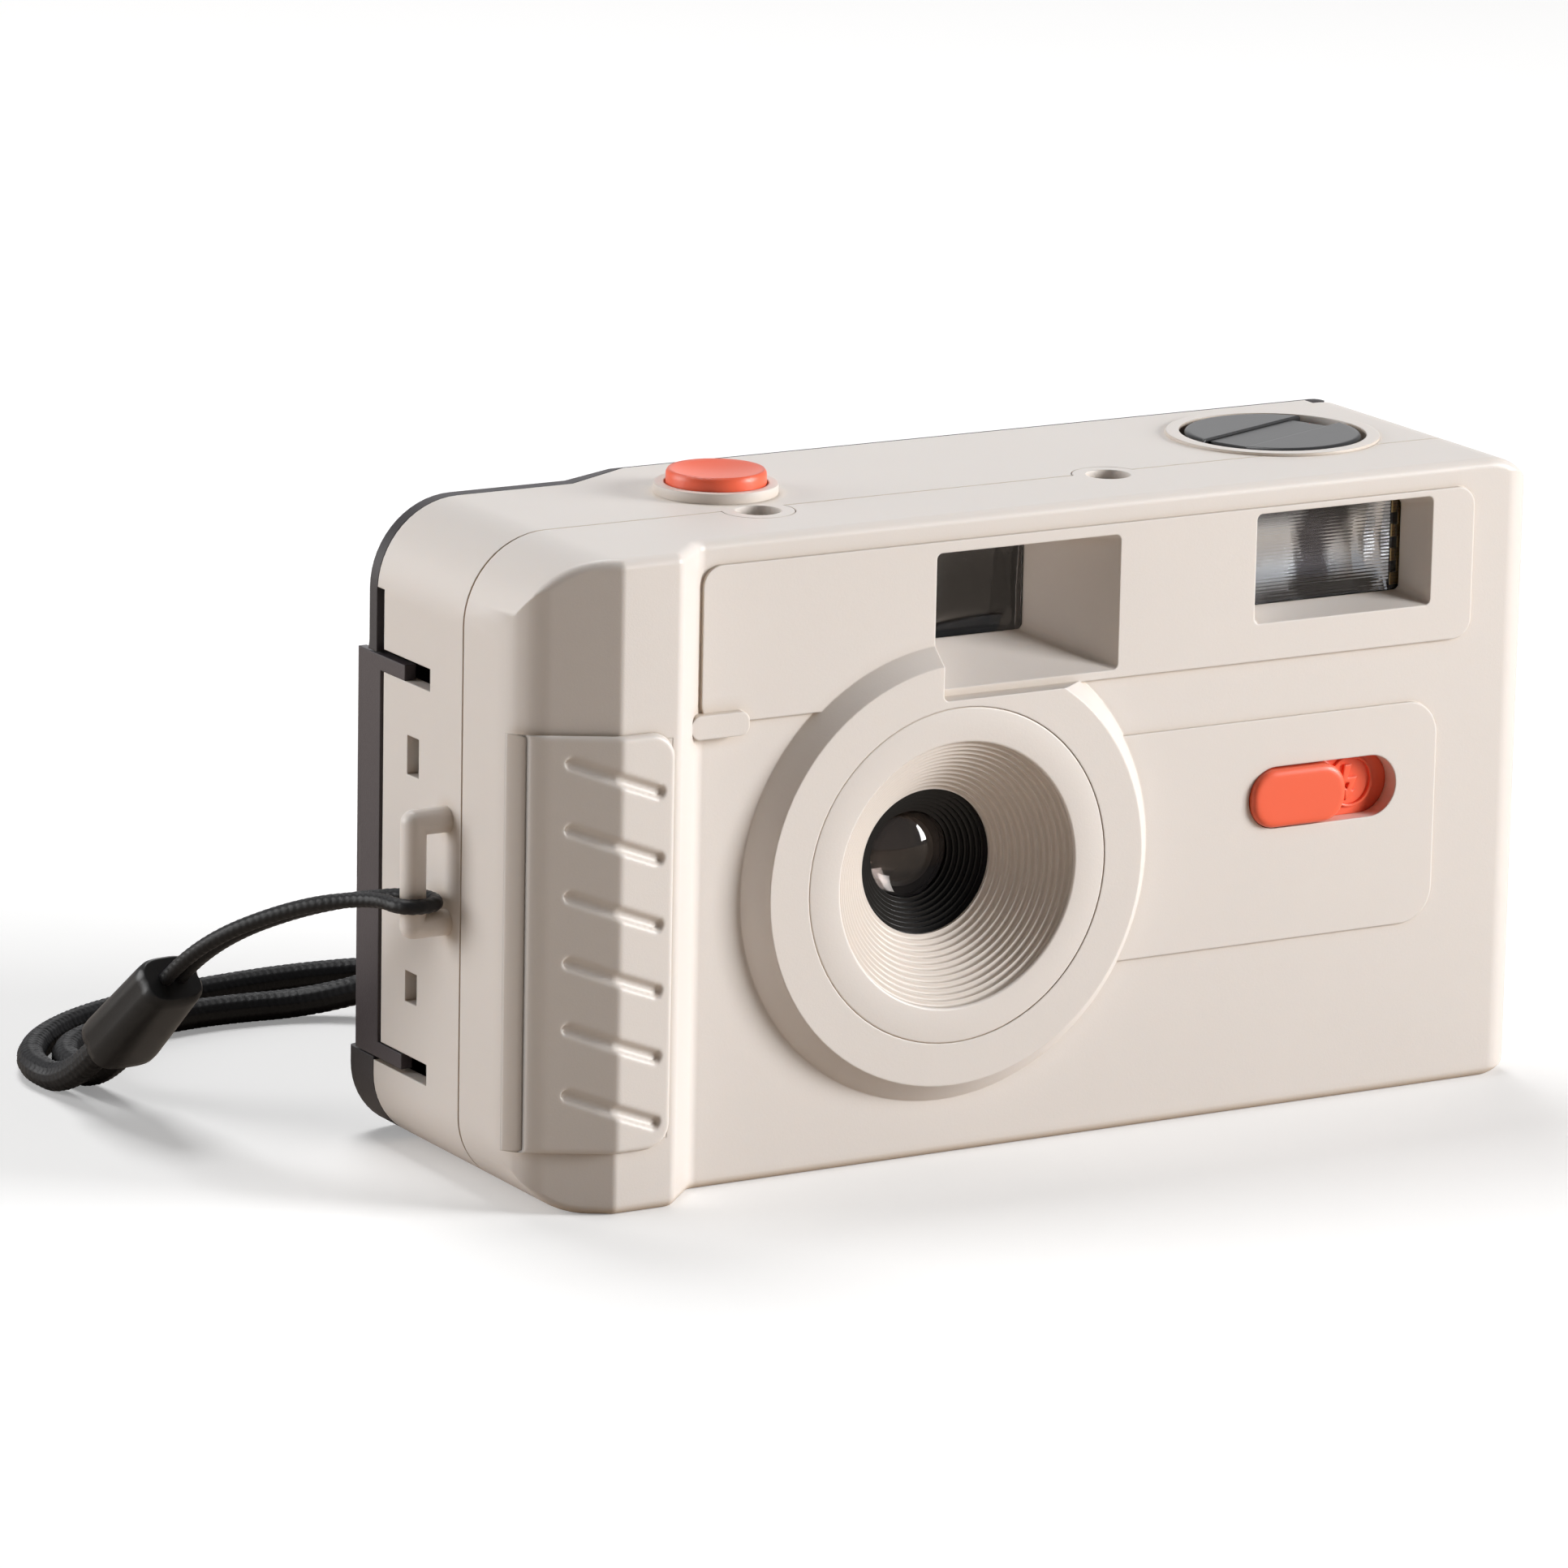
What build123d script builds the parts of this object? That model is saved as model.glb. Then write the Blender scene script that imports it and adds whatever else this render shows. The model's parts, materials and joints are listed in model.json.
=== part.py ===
from build123d import *
import math
import os

os.makedirs("parts", exist_ok=True)

# Overall sizes, in millimetres. X runs to the right of the front view, Y to the back, Z up.
body_width = 114.0
body_height = 63.0
body_depth = 33.6
wall = 1.6
grip_rise = 4.2
panel_rise = 0.4
low_panel_rise = 0.3
skin_proud = 0.75
lug_reach = 4.8
door_plate = 0.9

# Clearances
seat_gap = 0.1
slide_gap = 0.2
running_fit = 0.06
door_gap = 0.3

# Places that follow from the overall sizes
body_x = lug_reach / 2
left_x = body_x - body_width / 2
right_x = body_x + body_width / 2
top_z = body_height
front_y = grip_rise - panel_rise + skin_proud - (body_depth + grip_rise - panel_rise + skin_proud) / 2
base_y = front_y + panel_rise
grip_y = base_y - grip_rise
back_y = front_y + body_depth
part_y = front_y + 11.0
rear_y = back_y - door_plate
film_y = back_y - 6.0

# Corner radii of the case in the front view
corner_top_left = 8.5
corner_top_right = 5.5
corner_bottom_left = 7.0
corner_bottom_right = 4.0
edge_round = 1.0
side_round_left = 6.0
side_round_right = 3.5
grip_round = 1.2
grip_foot_round = 1.5

# Grip on the left of the front
crease_x = left_x + 8.7
grip_right_x = left_x + 15.0
grip_foot_x = grip_right_x + grip_rise
facet_fall = 4.9

# Lens surround, funnel and barrel
lens_x = body_x - 10.2
lens_z = 28.3
flange_rise = 1.9
flange_y = front_y - flange_rise
flange_base_radius = 22.7
flange_face_radius = 20.7
funnel_radius = 16.5
funnel_rim_radius = 13.1
funnel_mouth_radius = 7.15
funnel_depth = 6.3
funnel_lip = 0.5
funnel_rings = 12
barrel_y = flange_y + funnel_depth
socket_y = base_y + 4.0
barrel_length = 6.2
barrel_radius = 8.4
barrel_steps = 7
lens_radius = 4.3
lens_back_y = barrel_y + barrel_length

# Viewfinder
finder_left_x = lens_x - 2.0
finder_width = 20.6
finder_height = 13.3
finder_depth = 8.0
finder_top_z = top_z - 3.5
pane_width = 13.6
pane_height = 9.4
pane_x = finder_left_x + 1.0 + pane_width / 2
pane_z = finder_top_z - 0.9 - pane_height / 2
finder_pane_y = front_y + finder_depth

# Flash
flash_width = 20.5
flash_height = 10.9
flash_depth = 4.0
flash_x = right_x - 33.1 + flash_width / 2
flash_z = top_z - 3.0 - flash_height / 2
flash_pane_y = front_y + flash_depth

# Raised panels of the front
panel_left_x = grip_foot_x + 0.2
panel_right_x = right_x - 7.7
panel_bottom_z = top_z - 17.6
panel_top_z = top_z - 2.4
low_panel_right_x = right_x - 11.2
low_panel_half = 11.2

# Flash switch
slot_length = 17.2
slot_height = 6.2
slot_x = right_x - 33.0 + slot_length / 2
slot_z = lens_z + 3.2

# Shutter button and its collar
button_x = left_x + 31.6
button_y = front_y + 19.2
button_radius = 4.85
collar_radius = 6.0
collar_rise = 1.0

# Rewind knob
rewind_x = right_x - 18.8
rewind_y = front_y + 19.4
knob_radius = 8.8
well_radius = 9.3
well_depth = 5.2

# Film cassette chamber, gate and take-up
cassette_radius = 12.6
cassette_bottom_z = 3.2
cassette_top_z = 50.2
chamber_wall = 1.1
gate_width = 36.0
gate_height = 24.0
spool_x = left_x + 14.6
spool_y = front_y + 19.8
spool_chamber_radius = 8.6
sprocket_x = spool_x + 12.4
sprocket_radius = 4.5
sprocket_y = film_y - sprocket_radius - 0.3
wheel_radius = 11.9
wheel_bottom_z = top_z - 11.4
wheel_height = 6.0
chassis_y = front_y + 12.8
chassis_bottom_z = 2.6

# Thumb scoop in the back, where the cover is shallow
scoop_y = rear_y - 4.4
scoop_right_x = left_x + 21.0
scoop_ramp = 8.0
scoop_bottom_z = top_z - 14.6

# Latch on the left side of the back
latch_bottom_z = 8.8
latch_top_z = 48.4
latch_front_y = scoop_y - 0.7
latch_plate = 1.2
latch_arm = 1.5
latch_arm_y = latch_front_y - 4.9
latch_pin_x = left_x + 1.5
latch_pin_y = back_y - 1.5
latch_barrel = 1.2
latch_pin_radius = 0.6
slot_front_y = latch_front_y - 10.0

# Hinge on the right side of the back
hinge_x = right_x - 3.8
hinge_y = back_y - 1.9
hinge_barrel = 1.9
hinge_pin_radius = 0.75
hinge_knuckle = 15.0

# Battery compartment in the grip
cell_radius = 5.25
cell_length = 44.5
cell_x = left_x + 9.3
cell_y = grip_y + wall + 0.6 + cell_radius
cell_bottom_z = 5.0
door_bottom_z = 6.2
door_top_z = 46.4

# Case screws
screw_left_x = left_x + 31.0
screw_right_x = body_x + 13.1
screw_y = front_y + 10.1
screw_recess_radius = 2.2
screw_boss_radius = 3.5
screw_recess = 2.6


def facing_front(y):
    """Plane at depth y that faces the front of the camera."""
    return Plane(origin=(0, y, 0), x_dir=(1, 0, 0), z_dir=(0, -1, 0))


def case_outline(inset=0.0):
    """Front view of the case: a rectangle whose four corners differ."""
    x0 = left_x + inset
    x1 = right_x - inset
    z0 = inset
    z1 = top_z - inset
    corners = (
        (x0, z1, corner_top_left),
        (x1, z1, corner_top_right),
        (x0, z0, corner_bottom_left),
        (x1, z0, corner_bottom_right),
    )
    with BuildSketch() as outline:
        with Locations(((x0 + x1) / 2, (z0 + z1) / 2)):
            Rectangle(x1 - x0, z1 - z0)
        for x, z, radius in corners:
            corner = outline.vertices().sort_by_distance((x, z))[0]
            fillet(corner, max(radius - inset, 0.8))
    return outline.sketch


def front_plan(inset=0.0, round_sides=True):
    """View from above of the front half, with the facets of the grip."""
    x0 = left_x + inset
    x1 = right_x - inset
    lean = math.atan2(facet_fall, crease_x - left_x)
    side_y = grip_y + facet_fall + inset * (1 / math.cos(lean) - math.tan(lean))
    with BuildSketch() as plan:
        with BuildLine():
            Polyline(
                (x0, part_y),
                (x0, side_y),
                (crease_x + inset * math.tan(lean / 2), grip_y + inset),
                (grip_right_x - inset * math.tan(math.pi / 8), grip_y + inset),
                (grip_foot_x - inset * math.tan(math.pi / 8), base_y + inset),
                (x1, base_y + inset),
                (x1, part_y),
                close=True,
            )
        make_face()
        rounding = [
            (crease_x, grip_y + inset, grip_round),
            (grip_right_x, grip_y + inset, grip_round),
            (grip_foot_x, base_y + inset, grip_foot_round),
        ]
        if round_sides:
            rounding.append((x0, side_y, side_round_left - inset))
            rounding.append((x1, base_y + inset, side_round_right - inset))
        for x, y, radius in rounding:
            corner = plan.vertices().sort_by_distance((x, y))[0]
            fillet(corner, radius)
    return plan.sketch


def rear_plan(gap=0.0):
    """View from above of the rear cover, whose back edge steps forward at the thumb scoop."""
    with BuildSketch() as plan:
        with BuildLine():
            Polyline(
                (left_x, part_y),
                (left_x, scoop_y + gap),
                (scoop_right_x, scoop_y + gap),
                (scoop_right_x + scoop_ramp, rear_y + gap),
                (right_x, rear_y + gap),
                (right_x, part_y),
                close=True,
            )
        make_face()
    return plan.sketch



def bar_between(outline_sketch, y0, y1):
    """Solid between two depths that has the given front view."""
    with BuildPart(mode=Mode.PRIVATE) as bar:
        with BuildSketch(facing_front(y1)):
            add(outline_sketch)
        extrude(amount=y1 - y0)
    return bar.part


def box_between(x0, x1, y0, y1, z0, z1, mode=Mode.ADD):
    """Box with the given sides, in the part being built."""
    with Locations(((x0 + x1) / 2, (y0 + y1) / 2, (z0 + z1) / 2)):
        Box(x1 - x0, y1 - y0, z1 - z0, mode=mode)


def upright(radius, x, y, z0, z1, mode=Mode.ADD):
    """Vertical cylinder, in the part being built."""
    with Locations((x, y, (z0 + z1) / 2)):
        Cylinder(radius, z1 - z0, mode=mode)


def lengthwise(radius, x, z, y0, y1, mode=Mode.ADD):
    """Cylinder that runs from front to back, in the part being built."""
    with Locations((x, (y0 + y1) / 2, z)):
        Cylinder(radius, y1 - y0, rotation=(90, 0, 0), mode=mode)


def crosswise(radius, y, z, x0, x1, mode=Mode.ADD):
    """Cylinder that runs from left to right, in the part being built."""
    with Locations(((x0 + x1) / 2, y, z)):
        Cylinder(radius, x1 - x0, rotation=(0, 90, 0), mode=mode)


# Space inside the front half
with BuildPart() as front_hollow:
    with BuildSketch(Plane.XY):
        add(front_plan(wall))
    extrude(amount=body_height)
    with BuildSketch(facing_front(part_y)):
        add(case_outline(wall))
    extrude(amount=body_depth, mode=Mode.INTERSECT)

# Front cover: the shell that carries the grip, the raised panels and the lens surround
recess_wall = 1.2
funnel_clear = 0.15
with BuildPart() as front_cover:
    # the rim is rounded while the sides still have sharp corners, which are rounded next
    with BuildSketch(Plane.XY):
        add(front_plan(round_sides=False))
    extrude(amount=body_height)
    with BuildSketch(facing_front(part_y)):
        add(case_outline())
    extrude(amount=body_depth, mode=Mode.INTERSECT)
    front_edges = front_cover.edges().filter_by(lambda edge: edge.center().Y < part_y - 2.0)
    upright_creases = front_edges.filter_by(Axis.Z).filter_by_position(
        Axis.X, left_x + 2.0, right_x - 2.0
    )
    fillet([edge for edge in front_edges if edge not in upright_creases], edge_round)
    with BuildSketch(Plane.XY):
        add(front_plan())
    extrude(amount=body_height, mode=Mode.INTERSECT)
    add(front_hollow.part, mode=Mode.SUBTRACT)
    # raised upper panel
    with BuildSketch(facing_front(base_y + 0.3)):
        with Locations(((panel_left_x + panel_right_x) / 2, (panel_bottom_z + panel_top_z) / 2)):
            RectangleRounded(panel_right_x - panel_left_x, panel_top_z - panel_bottom_z, 2.0)
    extrude(amount=panel_rise + 0.3)
    # raised lower panel, from the lens surround to the right
    with BuildSketch(facing_front(base_y + 0.3)):
        with Locations(((lens_x + low_panel_right_x) / 2, lens_z)):
            RectangleRounded(low_panel_right_x - lens_x, 2 * low_panel_half, 3.5)
    extrude(amount=low_panel_rise + 0.3)
    # lens surround, a low cone on a short socket for the funnel
    with BuildSketch(facing_front(base_y)):
        with Locations((lens_x, lens_z)):
            Circle(flange_base_radius)
    with BuildSketch(facing_front(flange_y)):
        with Locations((lens_x, lens_z)):
            Circle(flange_face_radius)
    loft()
    with BuildSketch(facing_front(base_y + 4.0)):
        with Locations((lens_x, lens_z)):
            Circle(funnel_radius + recess_wall)
    extrude(amount=4.0)
    # catch beside the grip
    with BuildSketch(facing_front(base_y + 0.3)):
        with Locations((panel_left_x + 1.6, panel_bottom_z)):
            RectangleRounded(6.2, 2.3, 0.9)
    extrude(amount=panel_rise + 1.2)
    # walls of the viewfinder recess, narrowing to the front pane
    with BuildSketch(facing_front(base_y + 0.5)):
        with Locations((finder_left_x + finder_width / 2, finder_top_z - finder_height / 2)):
            Rectangle(finder_width + 2 * recess_wall, finder_height + 2 * recess_wall)
    with BuildSketch(facing_front(finder_pane_y)):
        with Locations((pane_x, pane_z)):
            Rectangle(pane_width + 2 * recess_wall, pane_height + 2 * recess_wall)
    loft()
    with BuildSketch(facing_front(front_y)):
        with Locations((finder_left_x + finder_width / 2, finder_top_z - finder_height / 2)):
            RectangleRounded(finder_width, finder_height, 0.6)
    with BuildSketch(facing_front(finder_pane_y)):
        with Locations((pane_x, pane_z)):
            RectangleRounded(pane_width, pane_height, 0.6)
    loft(mode=Mode.SUBTRACT)
    with BuildSketch(facing_front(front_y)):
        with Locations((finder_left_x + finder_width / 2, finder_top_z - finder_height / 2 - 0.35)):
            RectangleRounded(finder_width, finder_height + 0.7, 0.6)
    extrude(amount=flange_rise + 1.0, mode=Mode.SUBTRACT)
    # walls of the flash recess
    with BuildSketch(facing_front(base_y + 0.5)):
        with Locations((flash_x, flash_z)):
            Rectangle(flash_width + 2 * recess_wall, flash_height + 2 * recess_wall)
    with BuildSketch(facing_front(flash_pane_y)):
        with Locations((flash_x, flash_z)):
            Rectangle(flash_width + 0.4, flash_height + 0.4)
    loft()
    with BuildSketch(facing_front(front_y)):
        with Locations((flash_x, flash_z)):
            RectangleRounded(flash_width, flash_height, 0.6)
    with BuildSketch(facing_front(flash_pane_y)):
        with Locations((flash_x, flash_z)):
            RectangleRounded(flash_width - 2.2, flash_height - 1.8, 0.6)
    loft(mode=Mode.SUBTRACT)
    # hole for the funnel
    with BuildSketch(facing_front(base_y + 6.0)):
        with Locations((lens_x, lens_z)):
            Circle(funnel_radius)
    extrude(amount=12.0, mode=Mode.SUBTRACT)
    # slot for the flash switch
    with BuildSketch(facing_front(base_y + wall + 0.5)):
        with Locations((slot_x, slot_z)):
            SlotOverall(slot_length, slot_height)
    extrude(amount=wall + 2.0, mode=Mode.SUBTRACT)
    # opening of the battery compartment
    with BuildSketch(facing_front(cell_y)):
        with Locations((cell_x - 0.2, (door_bottom_z + door_top_z) / 2)):
            Rectangle(2 * cell_radius - 0.4, door_top_z - door_bottom_z - 1.6)
    extrude(amount=20.0, mode=Mode.SUBTRACT)
    # tongue behind the joint between the covers
    add(bar_between(case_outline(wall / 2 + seat_gap), part_y - 1.0, part_y + 1.5))
    add(bar_between(case_outline(wall), part_y - 2.0, part_y + 1.5), mode=Mode.SUBTRACT)
    # room for the rewind well and for the screw lug of the rear cover
    with BuildSketch(Plane.XY.offset(top_z - well_depth - 2.0)):
        with Locations((rewind_x, rewind_y)):
            Circle(well_radius + 1.3 + seat_gap)
        with Locations((screw_left_x, screw_y)):
            Circle(screw_boss_radius + seat_gap)
    extrude(amount=well_depth + 3.0, mode=Mode.SUBTRACT)
    # boss of the right-hand screw, cut off where the rear cover begins
    with BuildSketch(Plane.XY.offset(top_z - 5.0)):
        with Locations((screw_right_x, screw_y)):
            Circle(screw_boss_radius)
    extrude(amount=5.0)
    with BuildSketch(Plane.XY.offset(top_z - screw_recess)):
        with Locations((screw_right_x, screw_y)):
            Circle(screw_recess_radius)
    extrude(amount=screw_recess + 1.0, mode=Mode.SUBTRACT)
    with BuildSketch(Plane.XY.offset(top_z - 6.0)):
        with Locations((screw_right_x, screw_y)):
            Circle(0.9)
    extrude(amount=8.0, mode=Mode.SUBTRACT)
front_cover.part.label = "front_cover"
export_step(front_cover.part, "parts/front_cover.step")

# Lens funnel: the stepped ring inside the lens surround
lens_section = Plane(origin=(lens_x, 0, lens_z), x_dir=(1, 0, 0), z_dir=(0, 0, 1))
lens_axis = Axis((lens_x, 0, lens_z), (0, 1, 0))
ring_run = (funnel_rim_radius - funnel_mouth_radius) / funnel_rings
ring_fall = (funnel_depth - funnel_lip) / funnel_rings
funnel_steps = []
for ring in range(funnel_rings):
    funnel_steps.append((funnel_rim_radius - ring * ring_run, flange_y + ring * ring_fall))
    funnel_steps.append((funnel_rim_radius - ring * ring_run, flange_y + (ring + 1) * ring_fall))
with BuildPart() as lens_funnel:
    with BuildSketch(lens_section):
        with BuildLine():
            Polyline(
                *funnel_steps,
                (funnel_mouth_radius, barrel_y - funnel_lip),
                (funnel_mouth_radius, barrel_y),
                (barrel_radius + seat_gap, barrel_y),
                (barrel_radius + seat_gap, socket_y + 0.9),
                (funnel_radius + recess_wall, socket_y + 0.9),
                (funnel_radius + recess_wall, socket_y + 0.05),
                (funnel_radius - funnel_clear, socket_y + 0.05),
                (funnel_radius - funnel_clear, flange_y),
                close=True,
            )
        make_face()
    revolve(axis=lens_axis)
lens_funnel.part.label = "lens_funnel"
export_step(lens_funnel.part, "parts/lens_funnel.step")

# Lens barrel: the black stepped tube that holds the two lenses
barrel_run = (funnel_mouth_radius - lens_radius) / barrel_steps
barrel_fall = 0.4
seat_radius = lens_radius + 0.4
seat_y = barrel_y + barrel_steps * barrel_fall + 0.3
barrel_profile = []
for step in range(barrel_steps):
    barrel_profile.append(
        (funnel_mouth_radius - step * barrel_run, barrel_y + 0.05 + step * barrel_fall)
    )
    barrel_profile.append(
        (funnel_mouth_radius - step * barrel_run, barrel_y + 0.05 + (step + 1) * barrel_fall)
    )
with BuildPart() as lens_barrel:
    with BuildSketch(lens_section):
        with BuildLine():
            Polyline(
                *barrel_profile,
                (lens_radius, barrel_y + 0.05 + barrel_steps * barrel_fall),
                (lens_radius, seat_y),
                (seat_radius, seat_y),
                (seat_radius, lens_back_y),
                (barrel_radius, lens_back_y),
                (barrel_radius, barrel_y + 0.05),
                close=True,
            )
        make_face()
    revolve(axis=lens_axis)
lens_barrel.part.label = "lens_barrel"
export_step(lens_barrel.part, "parts/lens_barrel.step")

# Front lens, with a domed face
glass_fit = 0.04
front_glass = 1.5
dome = 1.4
dome_radius = ((lens_radius - glass_fit) ** 2 + dome**2) / (2 * dome)
with BuildPart() as front_lens:
    with BuildSketch(lens_section):
        with BuildLine():
            Line((0, seat_y + front_glass), (seat_radius - glass_fit, seat_y + front_glass))
            Line(
                (seat_radius - glass_fit, seat_y + front_glass),
                (seat_radius - glass_fit, seat_y + 0.02)
            )
            Line((seat_radius - glass_fit, seat_y + 0.02), (lens_radius - glass_fit, seat_y + 0.02))
            RadiusArc((lens_radius - glass_fit, seat_y + 0.02), (0, seat_y + 0.02 - dome), dome_radius)
            Line((0, seat_y + 0.02 - dome), (0, seat_y + front_glass))
        make_face()
    revolve(axis=lens_axis)
front_lens.part.label = "front_lens"
export_step(front_lens.part, "parts/front_lens.step")

# Ring that keeps the lenses apart
spacer_length = 0.6
spacer_y = seat_y + front_glass + 0.02
with BuildPart() as lens_spacer:
    lengthwise(seat_radius - glass_fit, lens_x, lens_z, spacer_y, spacer_y + spacer_length)
    lengthwise(lens_radius - 0.6, lens_x, lens_z, spacer_y - 1.0, spacer_y + 2.0, Mode.SUBTRACT)
lens_spacer.part.label = "lens_spacer"
export_step(lens_spacer.part, "parts/lens_spacer.step")

# Rear lens, flat behind and hollowed in front
rear_lens_y = spacer_y + spacer_length + 0.02
with BuildPart() as rear_lens:
    lengthwise(seat_radius - glass_fit, lens_x, lens_z, rear_lens_y, lens_back_y - 0.02)
    with Locations((lens_x, rear_lens_y - 11.6, lens_z)):
        Sphere(12.0, mode=Mode.SUBTRACT)
rear_lens.part.label = "rear_lens"
export_step(rear_lens.part, "parts/rear_lens.step")

# Shutter plate, with the aperture, the pivot of the blade and its feet
aperture_radius = 2.6
plate_thick = 1.2
shutter_y = lens_back_y + plate_thick
blade_pivot_x = lens_x - 6.7
blade_pivot_z = lens_z + 12.9
pivot_radius = 0.8
with BuildPart() as shutter_plate:
    box_between(lens_x - 11, lens_x + 11, lens_back_y, shutter_y, lens_z - 11, lens_z + 15)
    lengthwise(aperture_radius, lens_x, lens_z, lens_back_y - 1, shutter_y + 1, Mode.SUBTRACT)
    for foot_x, foot_z in ((-9.3, -9.3), (9.3, -9.3), (9.3, 13.2)):
        lengthwise(1.5, lens_x + foot_x, lens_z + foot_z, shutter_y - 0.2, chassis_y)
    lengthwise(pivot_radius, blade_pivot_x, blade_pivot_z, shutter_y - 0.2, chassis_y - 0.2)
shutter_plate.part.label = "shutter_plate"
export_step(shutter_plate.part, "parts/shutter_plate.step")

# Shutter blade
blade_y = shutter_y + 0.2
blade_thick = 0.3
blade_radius = 4.2
blade_tail = 4.3
with BuildPart() as shutter_blade:
    with BuildSketch(facing_front(blade_y + blade_thick)):
        with Locations((lens_x, lens_z)):
            Circle(blade_radius)
        with Locations((blade_pivot_x, blade_pivot_z)):
            Circle(2.0)
        with BuildLine():
            Polyline(
                (blade_pivot_x - 1.6, blade_pivot_z),
                (lens_x - 3.4, lens_z),
                (lens_x + 3.0, lens_z + 2.0),
                (blade_pivot_x + 1.6, blade_pivot_z + 0.8),
                close=True,
            )
        make_face()
        with Locations((blade_pivot_x, blade_pivot_z + blade_tail / 2)):
            Rectangle(2.0, blade_tail)
        with Locations((blade_pivot_x, blade_pivot_z)):
            Circle(pivot_radius + running_fit, mode=Mode.SUBTRACT)
    extrude(amount=blade_thick)
shutter_blade.part.label = "shutter_blade"
export_step(shutter_blade.part, "parts/shutter_blade.step")

# Release lever between the button and the blade
lever_x = lens_x - 9.7
lever_z = top_z - 11.5
lever_pin = 1.0
lever_y = shutter_y + 0.15
lever_back_y = front_y + 15.3
lever_arm_z = lever_z + 2.9
button_leg_y = front_y + 14.9
with BuildPart() as release_lever:
    lengthwise(2.2, lever_x, lever_z, lever_y, lever_back_y)
    box_between(
        button_x - 1.6, lever_x, lever_back_y - 1.5, lever_back_y, lever_arm_z - 1.5, lever_arm_z
    )
    box_between(lever_x - 2.2, lever_x, lever_back_y - 1.5, lever_back_y, lever_z, lever_arm_z)
    box_between(lever_x - 0.2, lever_x + 1.4, lever_y, lever_y + 0.5, blade_pivot_z + 3.6, lever_z)
    lengthwise(lever_pin + running_fit, lever_x, lever_z, lever_y - 1, lever_back_y + 1, Mode.SUBTRACT)
release_lever.part.label = "release_lever"
export_step(release_lever.part, "parts/release_lever.step")

# Shutter button, dished on top, with a leg for the lever and a stem for its spring
button_top_z = top_z + 2.5
button_skirt_z = top_z - 1.6 - 0.8
stem_bottom_z = top_z - 4.4
with BuildPart() as shutter_button:
    upright(button_radius, button_x, button_y, button_skirt_z, button_top_z)
    fillet(shutter_button.edges().group_by(Axis.Z)[-1], 0.7)
    with Locations((button_x, button_y, button_top_z + 17.2)):
        Sphere(18.0, mode=Mode.SUBTRACT)
    upright(1.6, button_x, button_y, stem_bottom_z, button_skirt_z + 0.5)
    box_between(
        button_x - 1.2, button_x + 0.6, button_leg_y - 0.5,
        button_leg_y + 0.5, lever_arm_z + 0.3, button_skirt_z + 0.5
    )
    box_between(
        button_x - 1.0, button_x + 1.0, button_leg_y,
        button_y - 1.0, button_skirt_z - 1.0, button_skirt_z + 0.5
    )
shutter_button.part.label = "shutter_button"
export_step(shutter_button.part, "parts/shutter_button.step")

# Leaf spring under the button
leaf = 0.3
with BuildPart() as button_spring:
    box_between(
        button_x - 1.5, button_x + 1.5, button_y - 1.0, button_y + 10.0, stem_bottom_z - leaf,
        stem_bottom_z
    )
button_spring.part.label = "button_spring"
export_step(button_spring.part, "parts/button_spring.step")

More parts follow.
